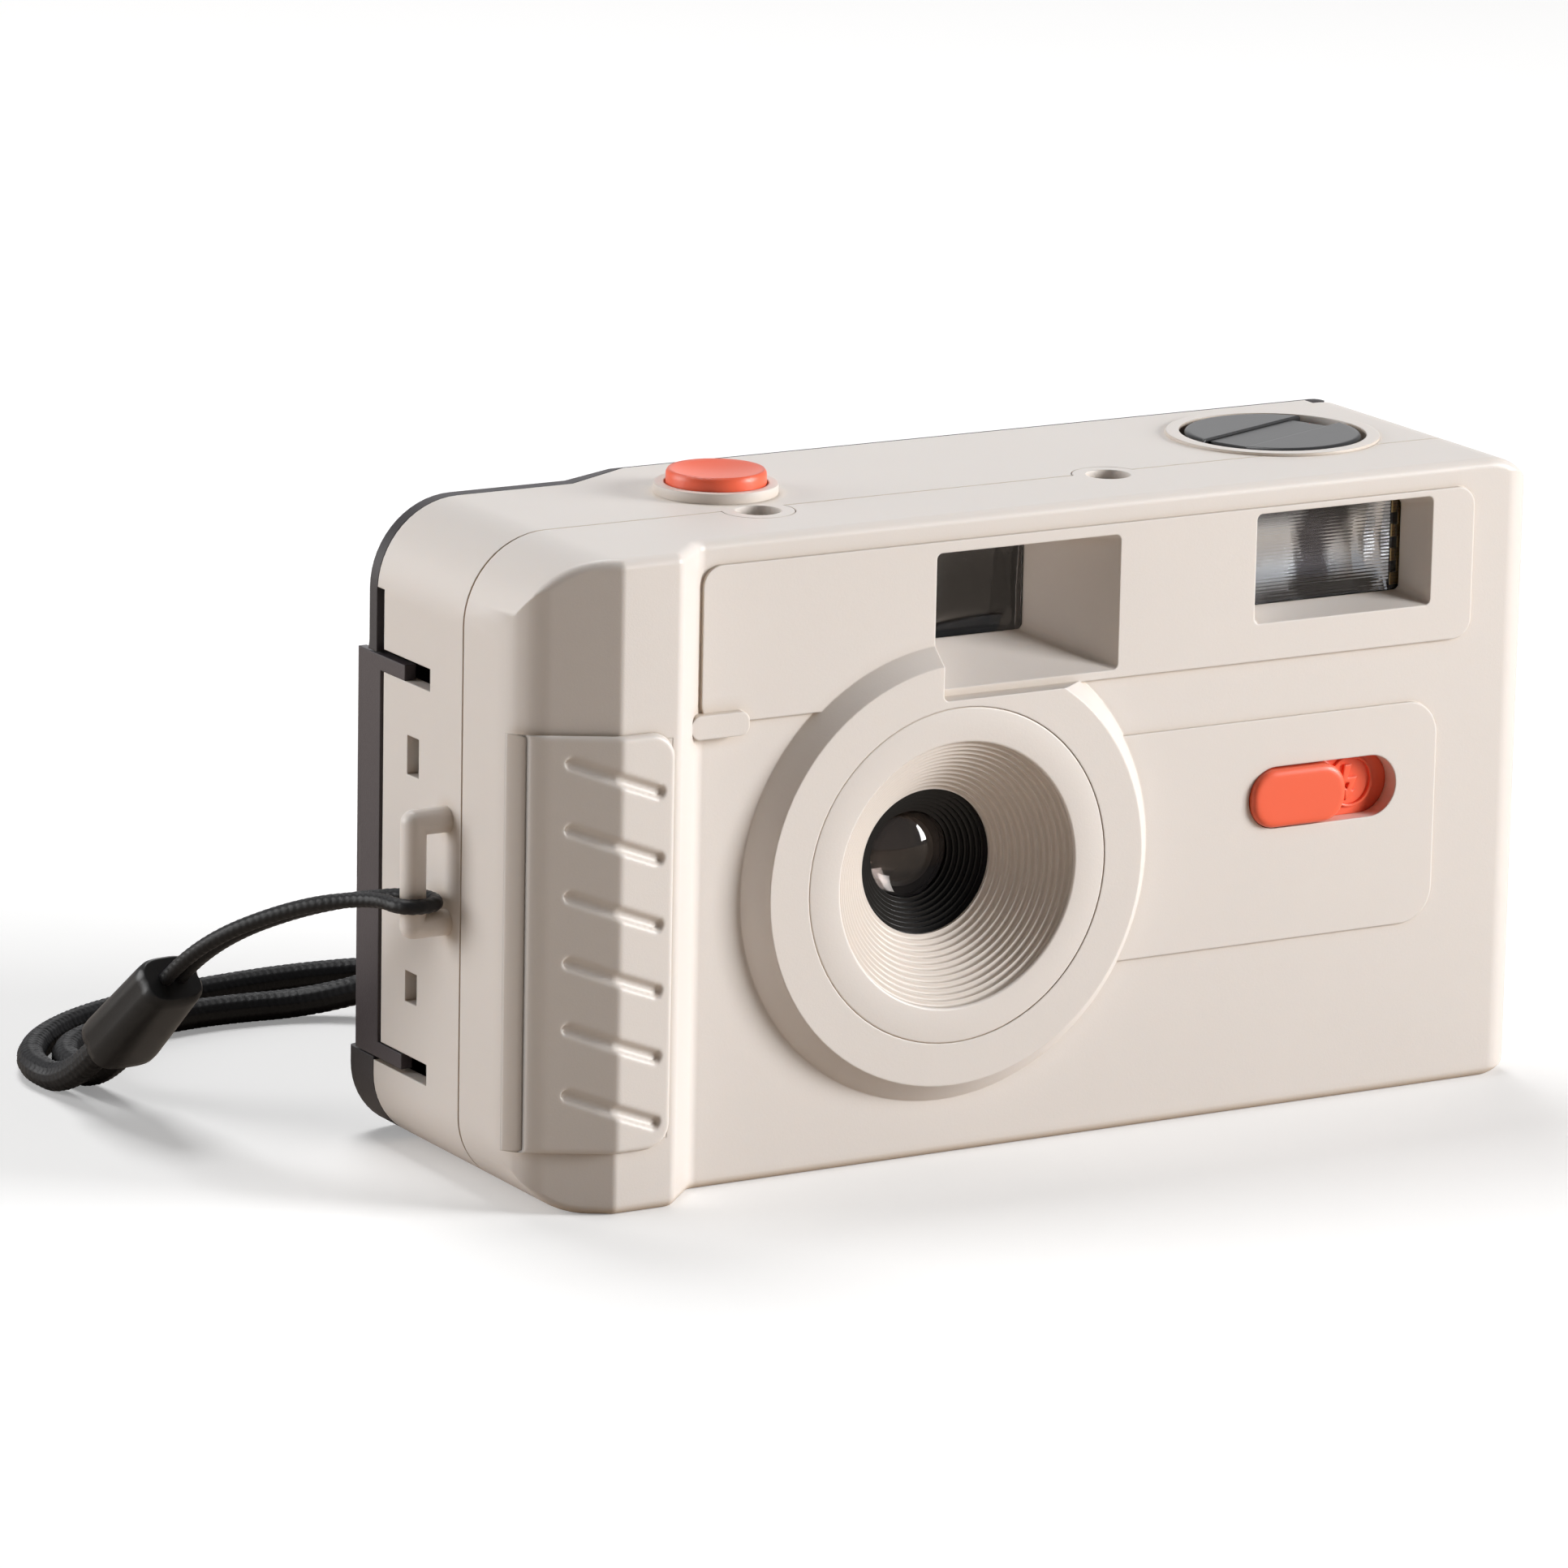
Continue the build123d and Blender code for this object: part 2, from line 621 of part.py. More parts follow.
# Rear cover: the band between the front cover and the door
joint_gap = 0.25
rear_edge_y = front_y + 26.9
lug_radius = 1.25
lug_top_z = 35.4
lug_bottom_z = 25.4
lug_y = front_y + 14.0
knuckle_low = 24.0
knuckle_high = knuckle_low + hinge_knuckle
release_x = sprocket_x
release_y = sprocket_y
with BuildPart() as rear_cover:
    with BuildSketch(Plane.XY):
        add(rear_plan())
    extrude(amount=body_height)
    with BuildSketch(facing_front(back_y)):
        add(case_outline())
    extrude(amount=body_depth - 11.0 - joint_gap, mode=Mode.INTERSECT)
    with BuildSketch(facing_front(back_y + 1)):
        add(case_outline(wall))
    extrude(amount=body_depth, mode=Mode.SUBTRACT)
    with BuildSketch(facing_front(part_y + 1.7)):
        add(case_outline(wall / 2))
    extrude(amount=3.0, mode=Mode.SUBTRACT)
    # the right side ends at the hinge
    box_between(hinge_x - 2.5, right_x + 1, hinge_y - 0.6, back_y + 1, -1, top_z + 1, Mode.SUBTRACT)
    # collar of the button
    upright(collar_radius, button_x, button_y, top_z - 1.2, top_z + collar_rise)
    upright(button_radius + slide_gap, button_x, button_y, top_z - 3, top_z + 3, Mode.SUBTRACT)
    # well of the rewind knob
    upright(well_radius + 1.3, rewind_x, rewind_y, top_z - well_depth - 1.2, top_z + 0.3)
    upright(well_radius, rewind_x, rewind_y, top_z - well_depth, top_z + 1, Mode.SUBTRACT)
    upright(3.2, rewind_x, rewind_y, top_z - well_depth - 2, top_z, Mode.SUBTRACT)
    # lug of the left-hand screw
    upright(screw_boss_radius, screw_left_x, screw_y, top_z - 5.0, top_z)
    upright(screw_recess_radius, screw_left_x, screw_y, top_z - screw_recess, top_z + 1, Mode.SUBTRACT)
    upright(0.95, screw_left_x, screw_y, top_z - 6.0, top_z, Mode.SUBTRACT)
    upright(screw_boss_radius + seat_gap, screw_right_x, screw_y, top_z - 6.0, top_z + 1, Mode.SUBTRACT)
    # post for the leaf spring of the button
    box_between(
        button_x - 1.8, button_x + 1.8, button_y + 6.5,
        button_y + 10.0, stem_bottom_z + 0.02, top_z - wall + 0.1
    )
    # slots, windows and edge for the latch
    for slot_low, slot_high in ((46.9, 49.1), (8.4, 10.5)):
        box_between(
            left_x - 1, left_x + wall + 0.5, slot_front_y, back_y, slot_low, slot_high, Mode.SUBTRACT
        )
    for window_low, window_high in ((38.0, 41.8), (15.75, 18.8)):
        box_between(
            left_x - 1, left_x + wall + 0.5, front_y + 19.7, front_y + 22.05,
            window_low, window_high, Mode.SUBTRACT
        )
    box_between(left_x - 1, left_x + wall + 0.5, rear_edge_y, back_y, 8.4, 54.9, Mode.SUBTRACT)
    # strap lug
    lug_out_x = left_x - lug_reach + lug_radius
    for bar_z in (lug_top_z, lug_bottom_z):
        crosswise(lug_radius, lug_y, bar_z, lug_out_x, left_x + 1.0)
        with Locations((lug_out_x, lug_y, bar_z)):
            Sphere(lug_radius)
    upright(lug_radius, lug_out_x, lug_y, lug_bottom_z, lug_top_z)
    # middle knuckle of the hinge
    upright(hinge_barrel + door_gap, hinge_x, hinge_y, 0.9, top_z - 1.9, Mode.SUBTRACT)
    upright(hinge_barrel, hinge_x, hinge_y, knuckle_low, knuckle_high)
    box_between(
        hinge_x, right_x - 1.0, hinge_y - hinge_barrel, hinge_y - 0.2, knuckle_low, knuckle_high
    )
    upright(hinge_pin_radius, hinge_x, hinge_y, knuckle_low - 1, knuckle_high + 1, Mode.SUBTRACT)
    # hole of the rewind release
    upright(2.4 + slide_gap, release_x, release_y, -1, wall + 1, Mode.SUBTRACT)
rear_cover.part.label = "rear_cover"
export_step(rear_cover.part, "parts/rear_cover.step")

# Battery trough, the front part of the chassis
trough_top_z = cell_bottom_z + cell_length + 1.9
trough_back_y = cell_y + cell_radius + 1.2
with BuildPart() as trough:
    with BuildSketch(Plane.XY):
        add(front_plan(wall + slide_gap))
    extrude(amount=body_height)
    with BuildSketch(facing_front(part_y)):
        add(case_outline(wall + slide_gap))
    extrude(amount=body_depth, mode=Mode.INTERSECT)
    with BuildSketch(facing_front(trough_back_y)):
        with Locations((cell_x, (chassis_bottom_z + trough_top_z) / 2)):
            Rectangle(2 * cell_radius + 2.4, trough_top_z - chassis_bottom_z)
    extrude(amount=cell_radius + 2.7, mode=Mode.INTERSECT)
    upright(
        cell_radius + slide_gap, cell_x, cell_y, cell_bottom_z - 1.2, cell_bottom_z + cell_length + 0.9,
        Mode.SUBTRACT
    )

# Chassis: light box, film gate, both film chambers and the battery trough
chassis_top_z = lens_z + 19.7
gate_y = film_y - 0.7
spool_floor_z = 4.2
spool_roof_z = 49.0
post_top_z = top_z - 5.0 - seat_gap
sprocket_z = lens_z + 15.5
tooth = 1.0
dial_x = left_x + 36.8
dial_y = front_y + 24.2
dial_radius = 6.2
dial_bottom_z = chassis_top_z + 0.4
dial_height = 6.2
with BuildPart() as chassis:
    # middle block, hollow, with the tapered light box across it
    box_between(spool_x, rewind_x, chassis_y, gate_y, chassis_bottom_z, chassis_top_z)
    box_between(
        spool_x, rewind_x, chassis_y + 1.4, gate_y - 1.4,
        chassis_bottom_z + 1.4, chassis_top_z - 1.4, Mode.SUBTRACT
    )
    with BuildSketch(facing_front(chassis_y)):
        with Locations((lens_x, lens_z)):
            Rectangle(11.0, 11.0)
    with BuildSketch(facing_front(gate_y)):
        with Locations((lens_x, lens_z)):
            Rectangle(gate_width + 3.0, gate_height + 3.0)
    loft()
    # outer forms of the two film chambers
    upright(
        cassette_radius + chamber_wall, rewind_x, rewind_y,
        cassette_bottom_z - chamber_wall, cassette_top_z + chamber_wall
    )
    box_between(
        rewind_x - cassette_radius - chamber_wall, rewind_x + cassette_radius + chamber_wall,
        rewind_y, gate_y, cassette_bottom_z - chamber_wall, cassette_top_z + chamber_wall,
    )
    box_between(
        rewind_x - cassette_radius, rewind_x + cassette_radius + 2,
        gate_y, back_y, 0, top_z, Mode.SUBTRACT,
    )
    upright(
        spool_chamber_radius + chamber_wall, spool_x, spool_y, spool_floor_z - 1.2, spool_roof_z + 1.2
    )
    box_between(
        spool_x - spool_chamber_radius - chamber_wall, spool_x + spool_chamber_radius + chamber_wall,
        spool_y, gate_y, spool_floor_z - 1.2, spool_roof_z + 1.2,
    )
    # pillar of the sprocket
    box_between(
        sprocket_x - 4.0, sprocket_x + 7.4, sprocket_y - 7.4, gate_y, sprocket_z - 4.0, chassis_top_z
    )
    add(trough.part)
    box_between(spool_x - 5.0, spool_x + 1.0, trough_back_y - 0.8, spool_y, spool_floor_z, spool_roof_z)
    box_between(left_x, lens_x - 19.6, gate_y, back_y, 0, top_z, Mode.SUBTRACT)
    # rails of the film gate
    for rail_z in (-16.9, -13.1, 13.1, 16.9):
        box_between(
            lens_x - 19.5, lens_x + 34.0, gate_y, film_y, lens_z + rail_z - 0.5, lens_z + rail_z + 0.5
        )
    # spaces of the two film chambers
    upright(cassette_radius, rewind_x, rewind_y, cassette_bottom_z, cassette_top_z, Mode.SUBTRACT)
    box_between(
        rewind_x - cassette_radius, rewind_x + cassette_radius, rewind_y, back_y,
        cassette_bottom_z, cassette_top_z, Mode.SUBTRACT,
    )
    upright(spool_chamber_radius, spool_x, spool_y, spool_floor_z, spool_roof_z, Mode.SUBTRACT)
    box_between(
        spool_x - spool_chamber_radius, spool_x + spool_chamber_radius, spool_y, back_y,
        spool_floor_z, spool_roof_z, Mode.SUBTRACT,
    )
    # inside of the light box
    with BuildSketch(facing_front(chassis_y - 0.1)):
        with Locations((lens_x, lens_z)):
            Rectangle(8.6, 8.6)
    with BuildSketch(facing_front(gate_y + 0.1)):
        with Locations((lens_x, lens_z)):
            Rectangle(gate_width, gate_height)
    loft(mode=Mode.SUBTRACT)
    # room for the sprocket and the holes of all shafts
    upright(
        sprocket_radius + tooth + 0.4, sprocket_x, sprocket_y, sprocket_z - 2.2, sprocket_z + 2.2,
        Mode.SUBTRACT
    )
    upright(1.2 + running_fit, sprocket_x, sprocket_y, 0, top_z, Mode.SUBTRACT)
    upright(1.6, sprocket_x, sprocket_y, 0, 4.0, Mode.SUBTRACT)
    upright(3.1, sprocket_x, sprocket_y, 0, chassis_bottom_z + 1.05, Mode.SUBTRACT)
    upright(2.2 + running_fit, spool_x, spool_y, spool_roof_z - 1, spool_roof_z + 3, Mode.SUBTRACT)
    upright(1.5 + running_fit, spool_x, spool_y, spool_floor_z - 3, spool_floor_z + 1, Mode.SUBTRACT)
    upright(3.2, rewind_x, rewind_y, cassette_top_z - 1, cassette_top_z + 3, Mode.SUBTRACT)
    upright(3.2, rewind_x, rewind_y, 0, cassette_bottom_z + 1, Mode.SUBTRACT)
    # posts of the case screws
    for post_x in (screw_left_x, screw_right_x):
        upright(2.2, post_x, screw_y, chassis_top_z - 10, post_top_z)
        box_between(
            post_x - 1.2, post_x + 1.2, screw_y, chassis_y + 1, chassis_top_z - 10, chassis_top_z
        )
        upright(0.87, post_x, screw_y, post_top_z - 7, post_top_z + 1, Mode.SUBTRACT)
    # post and pin of the release lever, pin of the counter dial
    box_between(
        lever_x - 1.8, lever_x + 1.8, lever_back_y + 0.5,
        lever_back_y + 2.0, chassis_top_z - 1, lever_z + 1.6
    )
    lengthwise(lever_pin, lever_x, lever_z, lever_y, lever_back_y + 1.0)
    upright(1.0, dial_x, dial_y, chassis_top_z - 1, dial_bottom_z + dial_height - 0.4)
    # feet on the floor of the case
    for foot_x in (spool_x + 18, lens_x + 25, rewind_x):
        upright(1.6, foot_x, front_y + 16.0, wall + seat_gap, chassis_bottom_z + 0.6)
chassis.part.label = "chassis"
export_step(chassis.part, "parts/chassis.step")

# Take-up spool
with BuildPart() as take_up_spool:
    upright(4.0, spool_x, spool_y, spool_floor_z + 0.3, spool_roof_z - 0.3)
    upright(7.6, spool_x, spool_y, spool_floor_z + 0.3, spool_floor_z + 1.3)
    upright(7.6, spool_x, spool_y, spool_roof_z - 1.3, spool_roof_z - 0.3)
    box_between(
        spool_x - 5.0, spool_x + 5.0, spool_y - 0.7, spool_y + 0.7,
        lens_z - 17.5, lens_z + 17.5, Mode.SUBTRACT
    )
    upright(2.0, spool_x, spool_y, lens_z - 18, lens_z + 18)
    upright(1.5, spool_x, spool_y, spool_floor_z - 1.0, spool_floor_z + 0.5)
    upright(2.2, spool_x, spool_y, spool_roof_z - 0.5, wheel_bottom_z + 4.0)
take_up_spool.part.label = "take_up_spool"
export_step(take_up_spool.part, "parts/take_up_spool.step")

# Advance wheel with its notched rim
wheel_notches = 36
with BuildPart() as advance_wheel:
    upright(wheel_radius, spool_x, spool_y, wheel_bottom_z, wheel_bottom_z + wheel_height)
    upright(
        wheel_radius - 1.8, spool_x, spool_y, wheel_bottom_z - 1, wheel_bottom_z + wheel_height - 1.6,
        Mode.SUBTRACT
    )
    upright(4.2, spool_x, spool_y, wheel_bottom_z, wheel_bottom_z + wheel_height - 1.0)
    upright(2.2 + 0.02, spool_x, spool_y, wheel_bottom_z - 1, wheel_bottom_z + 4.1, Mode.SUBTRACT)
    with BuildSketch(Plane.XY.offset(wheel_bottom_z)):
        with Locations((spool_x, spool_y)):
            with PolarLocations(wheel_radius + 0.1, wheel_notches):
                Rectangle(1.0, 0.9)
    extrude(amount=wheel_height, mode=Mode.SUBTRACT)
advance_wheel.part.label = "advance_wheel"
export_step(advance_wheel.part, "parts/advance_wheel.step")

# Sprocket wheel with the finger that moves the counter
sprocket_teeth = 6
with BuildPart() as sprocket_wheel:
    upright(sprocket_radius, sprocket_x, sprocket_y, sprocket_z - 1.9, sprocket_z + 1.9)
    with BuildSketch(Plane.XY.offset(sprocket_z - 0.8)):
        with Locations((sprocket_x, sprocket_y)):
            with PolarLocations(sprocket_radius + tooth / 2 - 0.3, sprocket_teeth, start_angle=30):
                Rectangle(tooth + 0.6, 1.4)
    extrude(amount=1.6)
    upright(1.2, sprocket_x, sprocket_y, 4.2, chassis_top_z + 2.6)
    upright(2.0, sprocket_x, sprocket_y, chassis_top_z + 0.3, chassis_top_z + 2.4)
    box_between(
        sprocket_x - 0.5, sprocket_x + 0.5, sprocket_y,
        sprocket_y + 2.45, chassis_top_z + 0.5, chassis_top_z + 2.0
    )
sprocket_wheel.part.label = "sprocket_wheel"
export_step(sprocket_wheel.part, "parts/sprocket_wheel.step")

# Counter dial: a drum whose rim shows in the window of the door
with BuildPart() as counter_dial:
    upright(dial_radius, dial_x, dial_y, dial_bottom_z, dial_bottom_z + dial_height)
    upright(
        dial_radius - 1.0, dial_x, dial_y, dial_bottom_z + 1.2, dial_bottom_z + dial_height + 1,
        Mode.SUBTRACT
    )
    upright(2.4, dial_x, dial_y, dial_bottom_z, dial_bottom_z + dial_height)
    upright(
        1.0 + running_fit, dial_x, dial_y, dial_bottom_z - 1, dial_bottom_z + dial_height + 1,
        Mode.SUBTRACT
    )
    with BuildSketch(Plane.XY.offset(dial_bottom_z)):
        with Locations((dial_x, dial_y)):
            with PolarLocations(dial_radius, 20):
                Rectangle(1.0, 0.8)
    extrude(amount=1.6, mode=Mode.SUBTRACT)
counter_dial.part.label = "counter_dial"
export_step(counter_dial.part, "parts/counter_dial.step")

# Button that frees the sprocket for rewinding, in the bottom
with BuildPart() as rewind_release_button:
    upright(2.4, release_x, release_y, 0.3, wall + 0.1)
    upright(2.9, release_x, release_y, wall + 0.1, wall + 0.5)
    upright(1.3, release_x, release_y, wall, 2.4)
rewind_release_button.part.label = "rewind_release_button"
export_step(rewind_release_button.part, "parts/rewind_release_button.step")

# Sleeve that slides with the rewind knob
sleeve_top_z = top_z - well_depth + 0.7
with BuildPart() as rewind_sleeve:
    upright(3.0, rewind_x, rewind_y, cassette_top_z + 0.4, sleeve_top_z)
    upright(4.2, rewind_x, rewind_y, top_z - well_depth + seat_gap, sleeve_top_z)
    upright(2.0 + running_fit, rewind_x, rewind_y, cassette_top_z - 1, sleeve_top_z + 1, Mode.SUBTRACT)
rewind_sleeve.part.label = "rewind_sleeve"
export_step(rewind_sleeve.part, "parts/rewind_sleeve.step")

# Rewind shaft with the fork that turns the film
fork_bottom_z = cassette_top_z - 5.8
with BuildPart() as rewind_shaft:
    upright(2.0, rewind_x, rewind_y, cassette_top_z - 1.6, top_z - 2.6)
    box_between(
        rewind_x - 2.6, rewind_x + 2.6, rewind_y - 0.7,
        rewind_y + 0.7, fork_bottom_z, cassette_top_z - 1.0
    )
    box_between(
        rewind_x - 1.2, rewind_x + 1.2, rewind_y - 1, rewind_y + 1,
        fork_bottom_z - 1, fork_bottom_z + 3.2, Mode.SUBTRACT
    )
rewind_shaft.part.label = "rewind_shaft"
export_step(rewind_shaft.part, "parts/rewind_shaft.step")

# Rewind knob, slotted for the crank
knob_top_z = top_z + 0.4
crank_turn = 22.0
crank_slot = 5.0
crank_pin_z = knob_top_z - 1.2
crank_reach = 6.4
with BuildPart() as rewind_knob:
    upright(knob_radius, rewind_x, rewind_y, sleeve_top_z + 0.05, knob_top_z)
    fillet(rewind_knob.edges().group_by(Axis.Z)[-1], 0.5)
    with Locations(Location((rewind_x, rewind_y, knob_top_z - 1.2 + 0.2), (0, 0, crank_turn))):
        Box(2 * knob_radius + 2, crank_slot, 2.8, mode=Mode.SUBTRACT)
        with Locations((crank_reach, 0, -0.2)):
            Cylinder(0.62, 9.0, rotation=(90, 0, 0), mode=Mode.SUBTRACT)
    upright(2.02, rewind_x, rewind_y, 0, top_z - 2.55, Mode.SUBTRACT)
    # curved grip grooves on the two pads
    for side in (-1, 1):
        with BuildSketch(Plane.XY.offset(knob_top_z - 0.6)):
            with Locations(Location((rewind_x, rewind_y, 0), (0, 0, crank_turn + 90 * side))):
                for ridge_radius in (4.1, 5.5, 6.9):
                    with BuildLine():
                        CenterArc((0, 0), ridge_radius, -28, 56)
                    trace(line_width=0.6)
        extrude(amount=1.0, mode=Mode.SUBTRACT)
rewind_knob.part.label = "rewind_knob"
export_step(rewind_knob.part, "parts/rewind_knob.step")

# Crank arm that folds into the knob, and its pin
with BuildPart() as crank_arm:
    with Locations(Location((rewind_x, rewind_y, crank_pin_z), (0, 0, crank_turn))):
        with Locations((crank_reach - 7.0, 0, 0)):
            Box(14.0, crank_slot - 0.6, 2.0)
        with Locations((crank_reach, 0, 0)):
            Cylinder(1.0, crank_slot - 0.6, rotation=(90, 0, 0))
            Cylinder(0.6 + running_fit, crank_slot + 1, rotation=(90, 0, 0), mode=Mode.SUBTRACT)
crank_arm.part.label = "crank_arm"
export_step(crank_arm.part, "parts/crank_arm.step")

with BuildPart() as crank_pin:
    with Locations(Location((rewind_x, rewind_y, crank_pin_z), (0, 0, crank_turn))):
        with Locations((crank_reach, 0, 0)):
            Cylinder(0.6, 8.8, rotation=(90, 0, 0))
crank_pin.part.label = "crank_pin"
export_step(crank_pin.part, "parts/crank_pin.step")

# Case screws, two alike
with BuildPart() as case_screws:
    for head_x in (screw_left_x, screw_right_x):
        upright(1.9, head_x, screw_y, top_z - screw_recess + 0.02, top_z - screw_recess + 1.3)
        upright(0.85, head_x, screw_y, post_top_z - 6.0, top_z - screw_recess + 0.1)
        for turn in (45, 135):
            with Locations(Location((head_x, screw_y, top_z - screw_recess + 1.3), (0, 0, turn))):
                Box(2.2, 0.5, 1.2, mode=Mode.SUBTRACT)
case_screws.part.label = "case_screws"
export_step(case_screws.part, "parts/case_screws.step")

# Viewfinder: front lens, tunnel and eyepiece
finder_lens_thick = 1.4
tunnel_front_y = finder_pane_y + finder_lens_thick + 0.15
door_inner_y = back_y - 1.8
tunnel_wall = 0.8
with BuildPart() as viewfinder_lens:
    box_between(
        pane_x - pane_width / 2 - tunnel_wall, pane_x + pane_width / 2 + tunnel_wall,
        finder_pane_y + 0.05, finder_pane_y + 0.05 + finder_lens_thick,
        pane_z - pane_height / 2 - tunnel_wall + 0.1, pane_z + pane_height / 2 + tunnel_wall,
    )
    with Locations((pane_x, finder_pane_y - 28.0 + 0.8, pane_z)):
        Sphere(28.0, mode=Mode.SUBTRACT)
viewfinder_lens.part.label = "viewfinder_lens"
export_step(viewfinder_lens.part, "parts/viewfinder_lens.step")

with BuildPart() as viewfinder_tunnel:
    box_between(
        pane_x - pane_width / 2 - tunnel_wall, pane_x + pane_width / 2 + tunnel_wall,
        tunnel_front_y, door_inner_y - door_gap,
        pane_z - pane_height / 2 - tunnel_wall + 0.1, pane_z + pane_height / 2 + tunnel_wall,
    )
    with BuildSketch(facing_front(tunnel_front_y)):
        with Locations((pane_x, pane_z)):
            Rectangle(pane_width, pane_height - 0.2)
    with BuildSketch(facing_front(door_inner_y)):
        with Locations((pane_x, pane_z)):
            Rectangle(9.0, 7.0)
    loft(mode=Mode.SUBTRACT)
viewfinder_tunnel.part.label = "viewfinder_tunnel"
export_step(viewfinder_tunnel.part, "parts/viewfinder_tunnel.step")

eyepiece_width = 8.4
eyepiece_height = 6.6
with BuildPart() as viewfinder_eyepiece:
    box_between(
        pane_x - eyepiece_width / 2, pane_x + eyepiece_width / 2, door_inner_y + 0.1, back_y - 0.5,
        pane_z - eyepiece_height / 2, pane_z + eyepiece_height / 2,
    )
viewfinder_eyepiece.part.label = "viewfinder_eyepiece"
export_step(viewfinder_eyepiece.part, "parts/viewfinder_eyepiece.step")

# Flash: clear pane, frame, reflector and tube
flash_low_z = cassette_top_z + chamber_wall + 0.3
flash_high_z = top_z - wall - 1.4
flash_mid_z = (flash_low_z + flash_high_z) / 2
reflector_height = flash_high_z - flash_low_z
reflector_y = flash_pane_y + 1.6
reflector_step = 2.8
reflector_depth = 6.4
flash_back_z = top_z - well_depth - 1.5
tube_z = (flash_low_z + flash_back_z) / 2
tube_y = reflector_y + 3.9
tube_radius = 1.3
with BuildPart() as flash_window:
    box_between(
        flash_x - flash_width / 2 - 0.4, flash_x + flash_width / 2 + 0.4,
        flash_pane_y + 0.05, flash_pane_y + 1.05,
        flash_z - flash_height / 2 - 0.4, flash_z + flash_height / 2 + 0.4,
    )
    box_between(
        flash_x - flash_width / 2 + 1.3, flash_x + flash_width / 2 - 1.3,
        flash_pane_y - 0.5, flash_pane_y + 0.2,
        flash_z - flash_height / 2 + 1.1, flash_z + flash_height / 2 - 1.1,
    )
flash_window.part.label = "flash_window"
export_step(flash_window.part, "parts/flash_window.step")

with BuildPart() as flash_frame:
    box_between(
        flash_x - flash_width / 2, flash_x + flash_width / 2, flash_pane_y + 1.1, reflector_y - 0.05,
        flash_z - flash_height / 2, flash_z + flash_height / 2,
    )
    box_between(
        flash_x - flash_width / 2 + 1.9, flash_x + flash_width / 2 - 1.9, flash_pane_y, reflector_y + 1,
        flash_low_z + 0.5, flash_high_z - 0.5, Mode.SUBTRACT,
    )
flash_frame.part.label = "flash_frame"
export_step(flash_frame.part, "parts/flash_frame.step")

with BuildPart() as flash_reflector:
    box_between(
        flash_x - 9.2, flash_x + 9.2, reflector_y,
        reflector_y + reflector_step, flash_low_z, flash_high_z
    )
    box_between(
        flash_x - 9.2, flash_x + 9.2, reflector_y,
        reflector_y + reflector_depth, flash_low_z, flash_back_z
    )
    with BuildSketch(facing_front(reflector_y - 0.1)):
        with Locations((flash_x, flash_mid_z)):
            Rectangle(17.4, reflector_height - 0.8)
    with BuildSketch(facing_front(reflector_y + reflector_step - 0.4)):
        with Locations((flash_x, tube_z)):
            Rectangle(15.6, flash_back_z - flash_low_z - 0.8)
    loft(mode=Mode.SUBTRACT)
    box_between(
        flash_x - 7.8, flash_x + 7.8,
        reflector_y + reflector_step - 0.5, reflector_y + reflector_depth - 0.5,
        flash_low_z + 0.4, flash_back_z - 0.4, Mode.SUBTRACT,
    )
    crosswise(tube_radius + 0.1, tube_y, tube_z, flash_x - 10, flash_x + 10, Mode.SUBTRACT)
flash_reflector.part.label = "flash_reflector"
export_step(flash_reflector.part, "parts/flash_reflector.step")

with BuildPart() as flash_tube:
    crosswise(tube_radius, tube_y, tube_z, flash_x - 11.2, flash_x + 11.2)
flash_tube.part.label = "flash_tube"
export_step(flash_tube.part, "parts/flash_tube.step")

# Flash circuit: board, capacitor and transformer
slot_left_x = slot_x - slot_length / 2
board_y = front_y + 3.9
board_thick = 1.1
with BuildPart() as flash_board:
    box_between(lens_x + 23.5, right_x - 4.0, board_y, board_y + board_thick, 3.5, slot_z + 3.2)
    with Locations((right_x - 5.5, board_y, 5.0), (lens_x + 25.5, board_y, 5.0)):
        Cylinder(1.1, 6.0, rotation=(90, 0, 0), mode=Mode.SUBTRACT)
flash_board.part.label = "flash_board"
export_step(flash_board.part, "parts/flash_board.step")

with BuildPart() as flash_capacitor:
    crosswise(4.0, front_y + 6.6, 6.4, lens_x - 8.0, lens_x + 20.0)
    crosswise(0.4, front_y + 6.6, 6.4, lens_x + 19.0, lens_x + 22.5)
flash_capacitor.part.label = "flash_capacitor"
export_step(flash_capacitor.part, "parts/flash_capacitor.step")

with BuildPart() as flash_transformer:
    box_between(lens_x + 25.0, lens_x + 33.5, board_y + board_thick + 0.1, chassis_y - 0.3, 12.0, 21.0)
    box_between(
        lens_x + 24.9, lens_x + 33.6, board_y + board_thick + 1.5, chassis_y - 1.7,
        10.6, 12.6, Mode.SUBTRACT
    )
flash_transformer.part.label = "flash_transformer"
export_step(flash_transformer.part, "parts/flash_transformer.step")

# Flash switch: slide behind the slot with its knob, and the contact it moves
switch_floor_y = base_y + wall + seat_gap
knob_length = 10.8
with BuildPart() as flash_switch:
    box_between(
        slot_left_x - 5.0, slot_left_x + 18.2, switch_floor_y, switch_floor_y + 1.1,
        slot_z - slot_height / 2 - 1.0, slot_z + slot_height / 2 + 1.0,
    )
    with BuildSketch(facing_front(switch_floor_y + 0.5)):
        with Locations((slot_left_x + knob_length / 2 + 0.15, slot_z)):
            RectangleRounded(knob_length, slot_height - 0.4, 2.6)
    extrude(amount=3.2)
    fillet(flash_switch.edges().group_by(Axis.Y)[0], 0.5)
flash_switch.part.label = "flash_switch"
export_step(flash_switch.part, "parts/flash_switch.step")

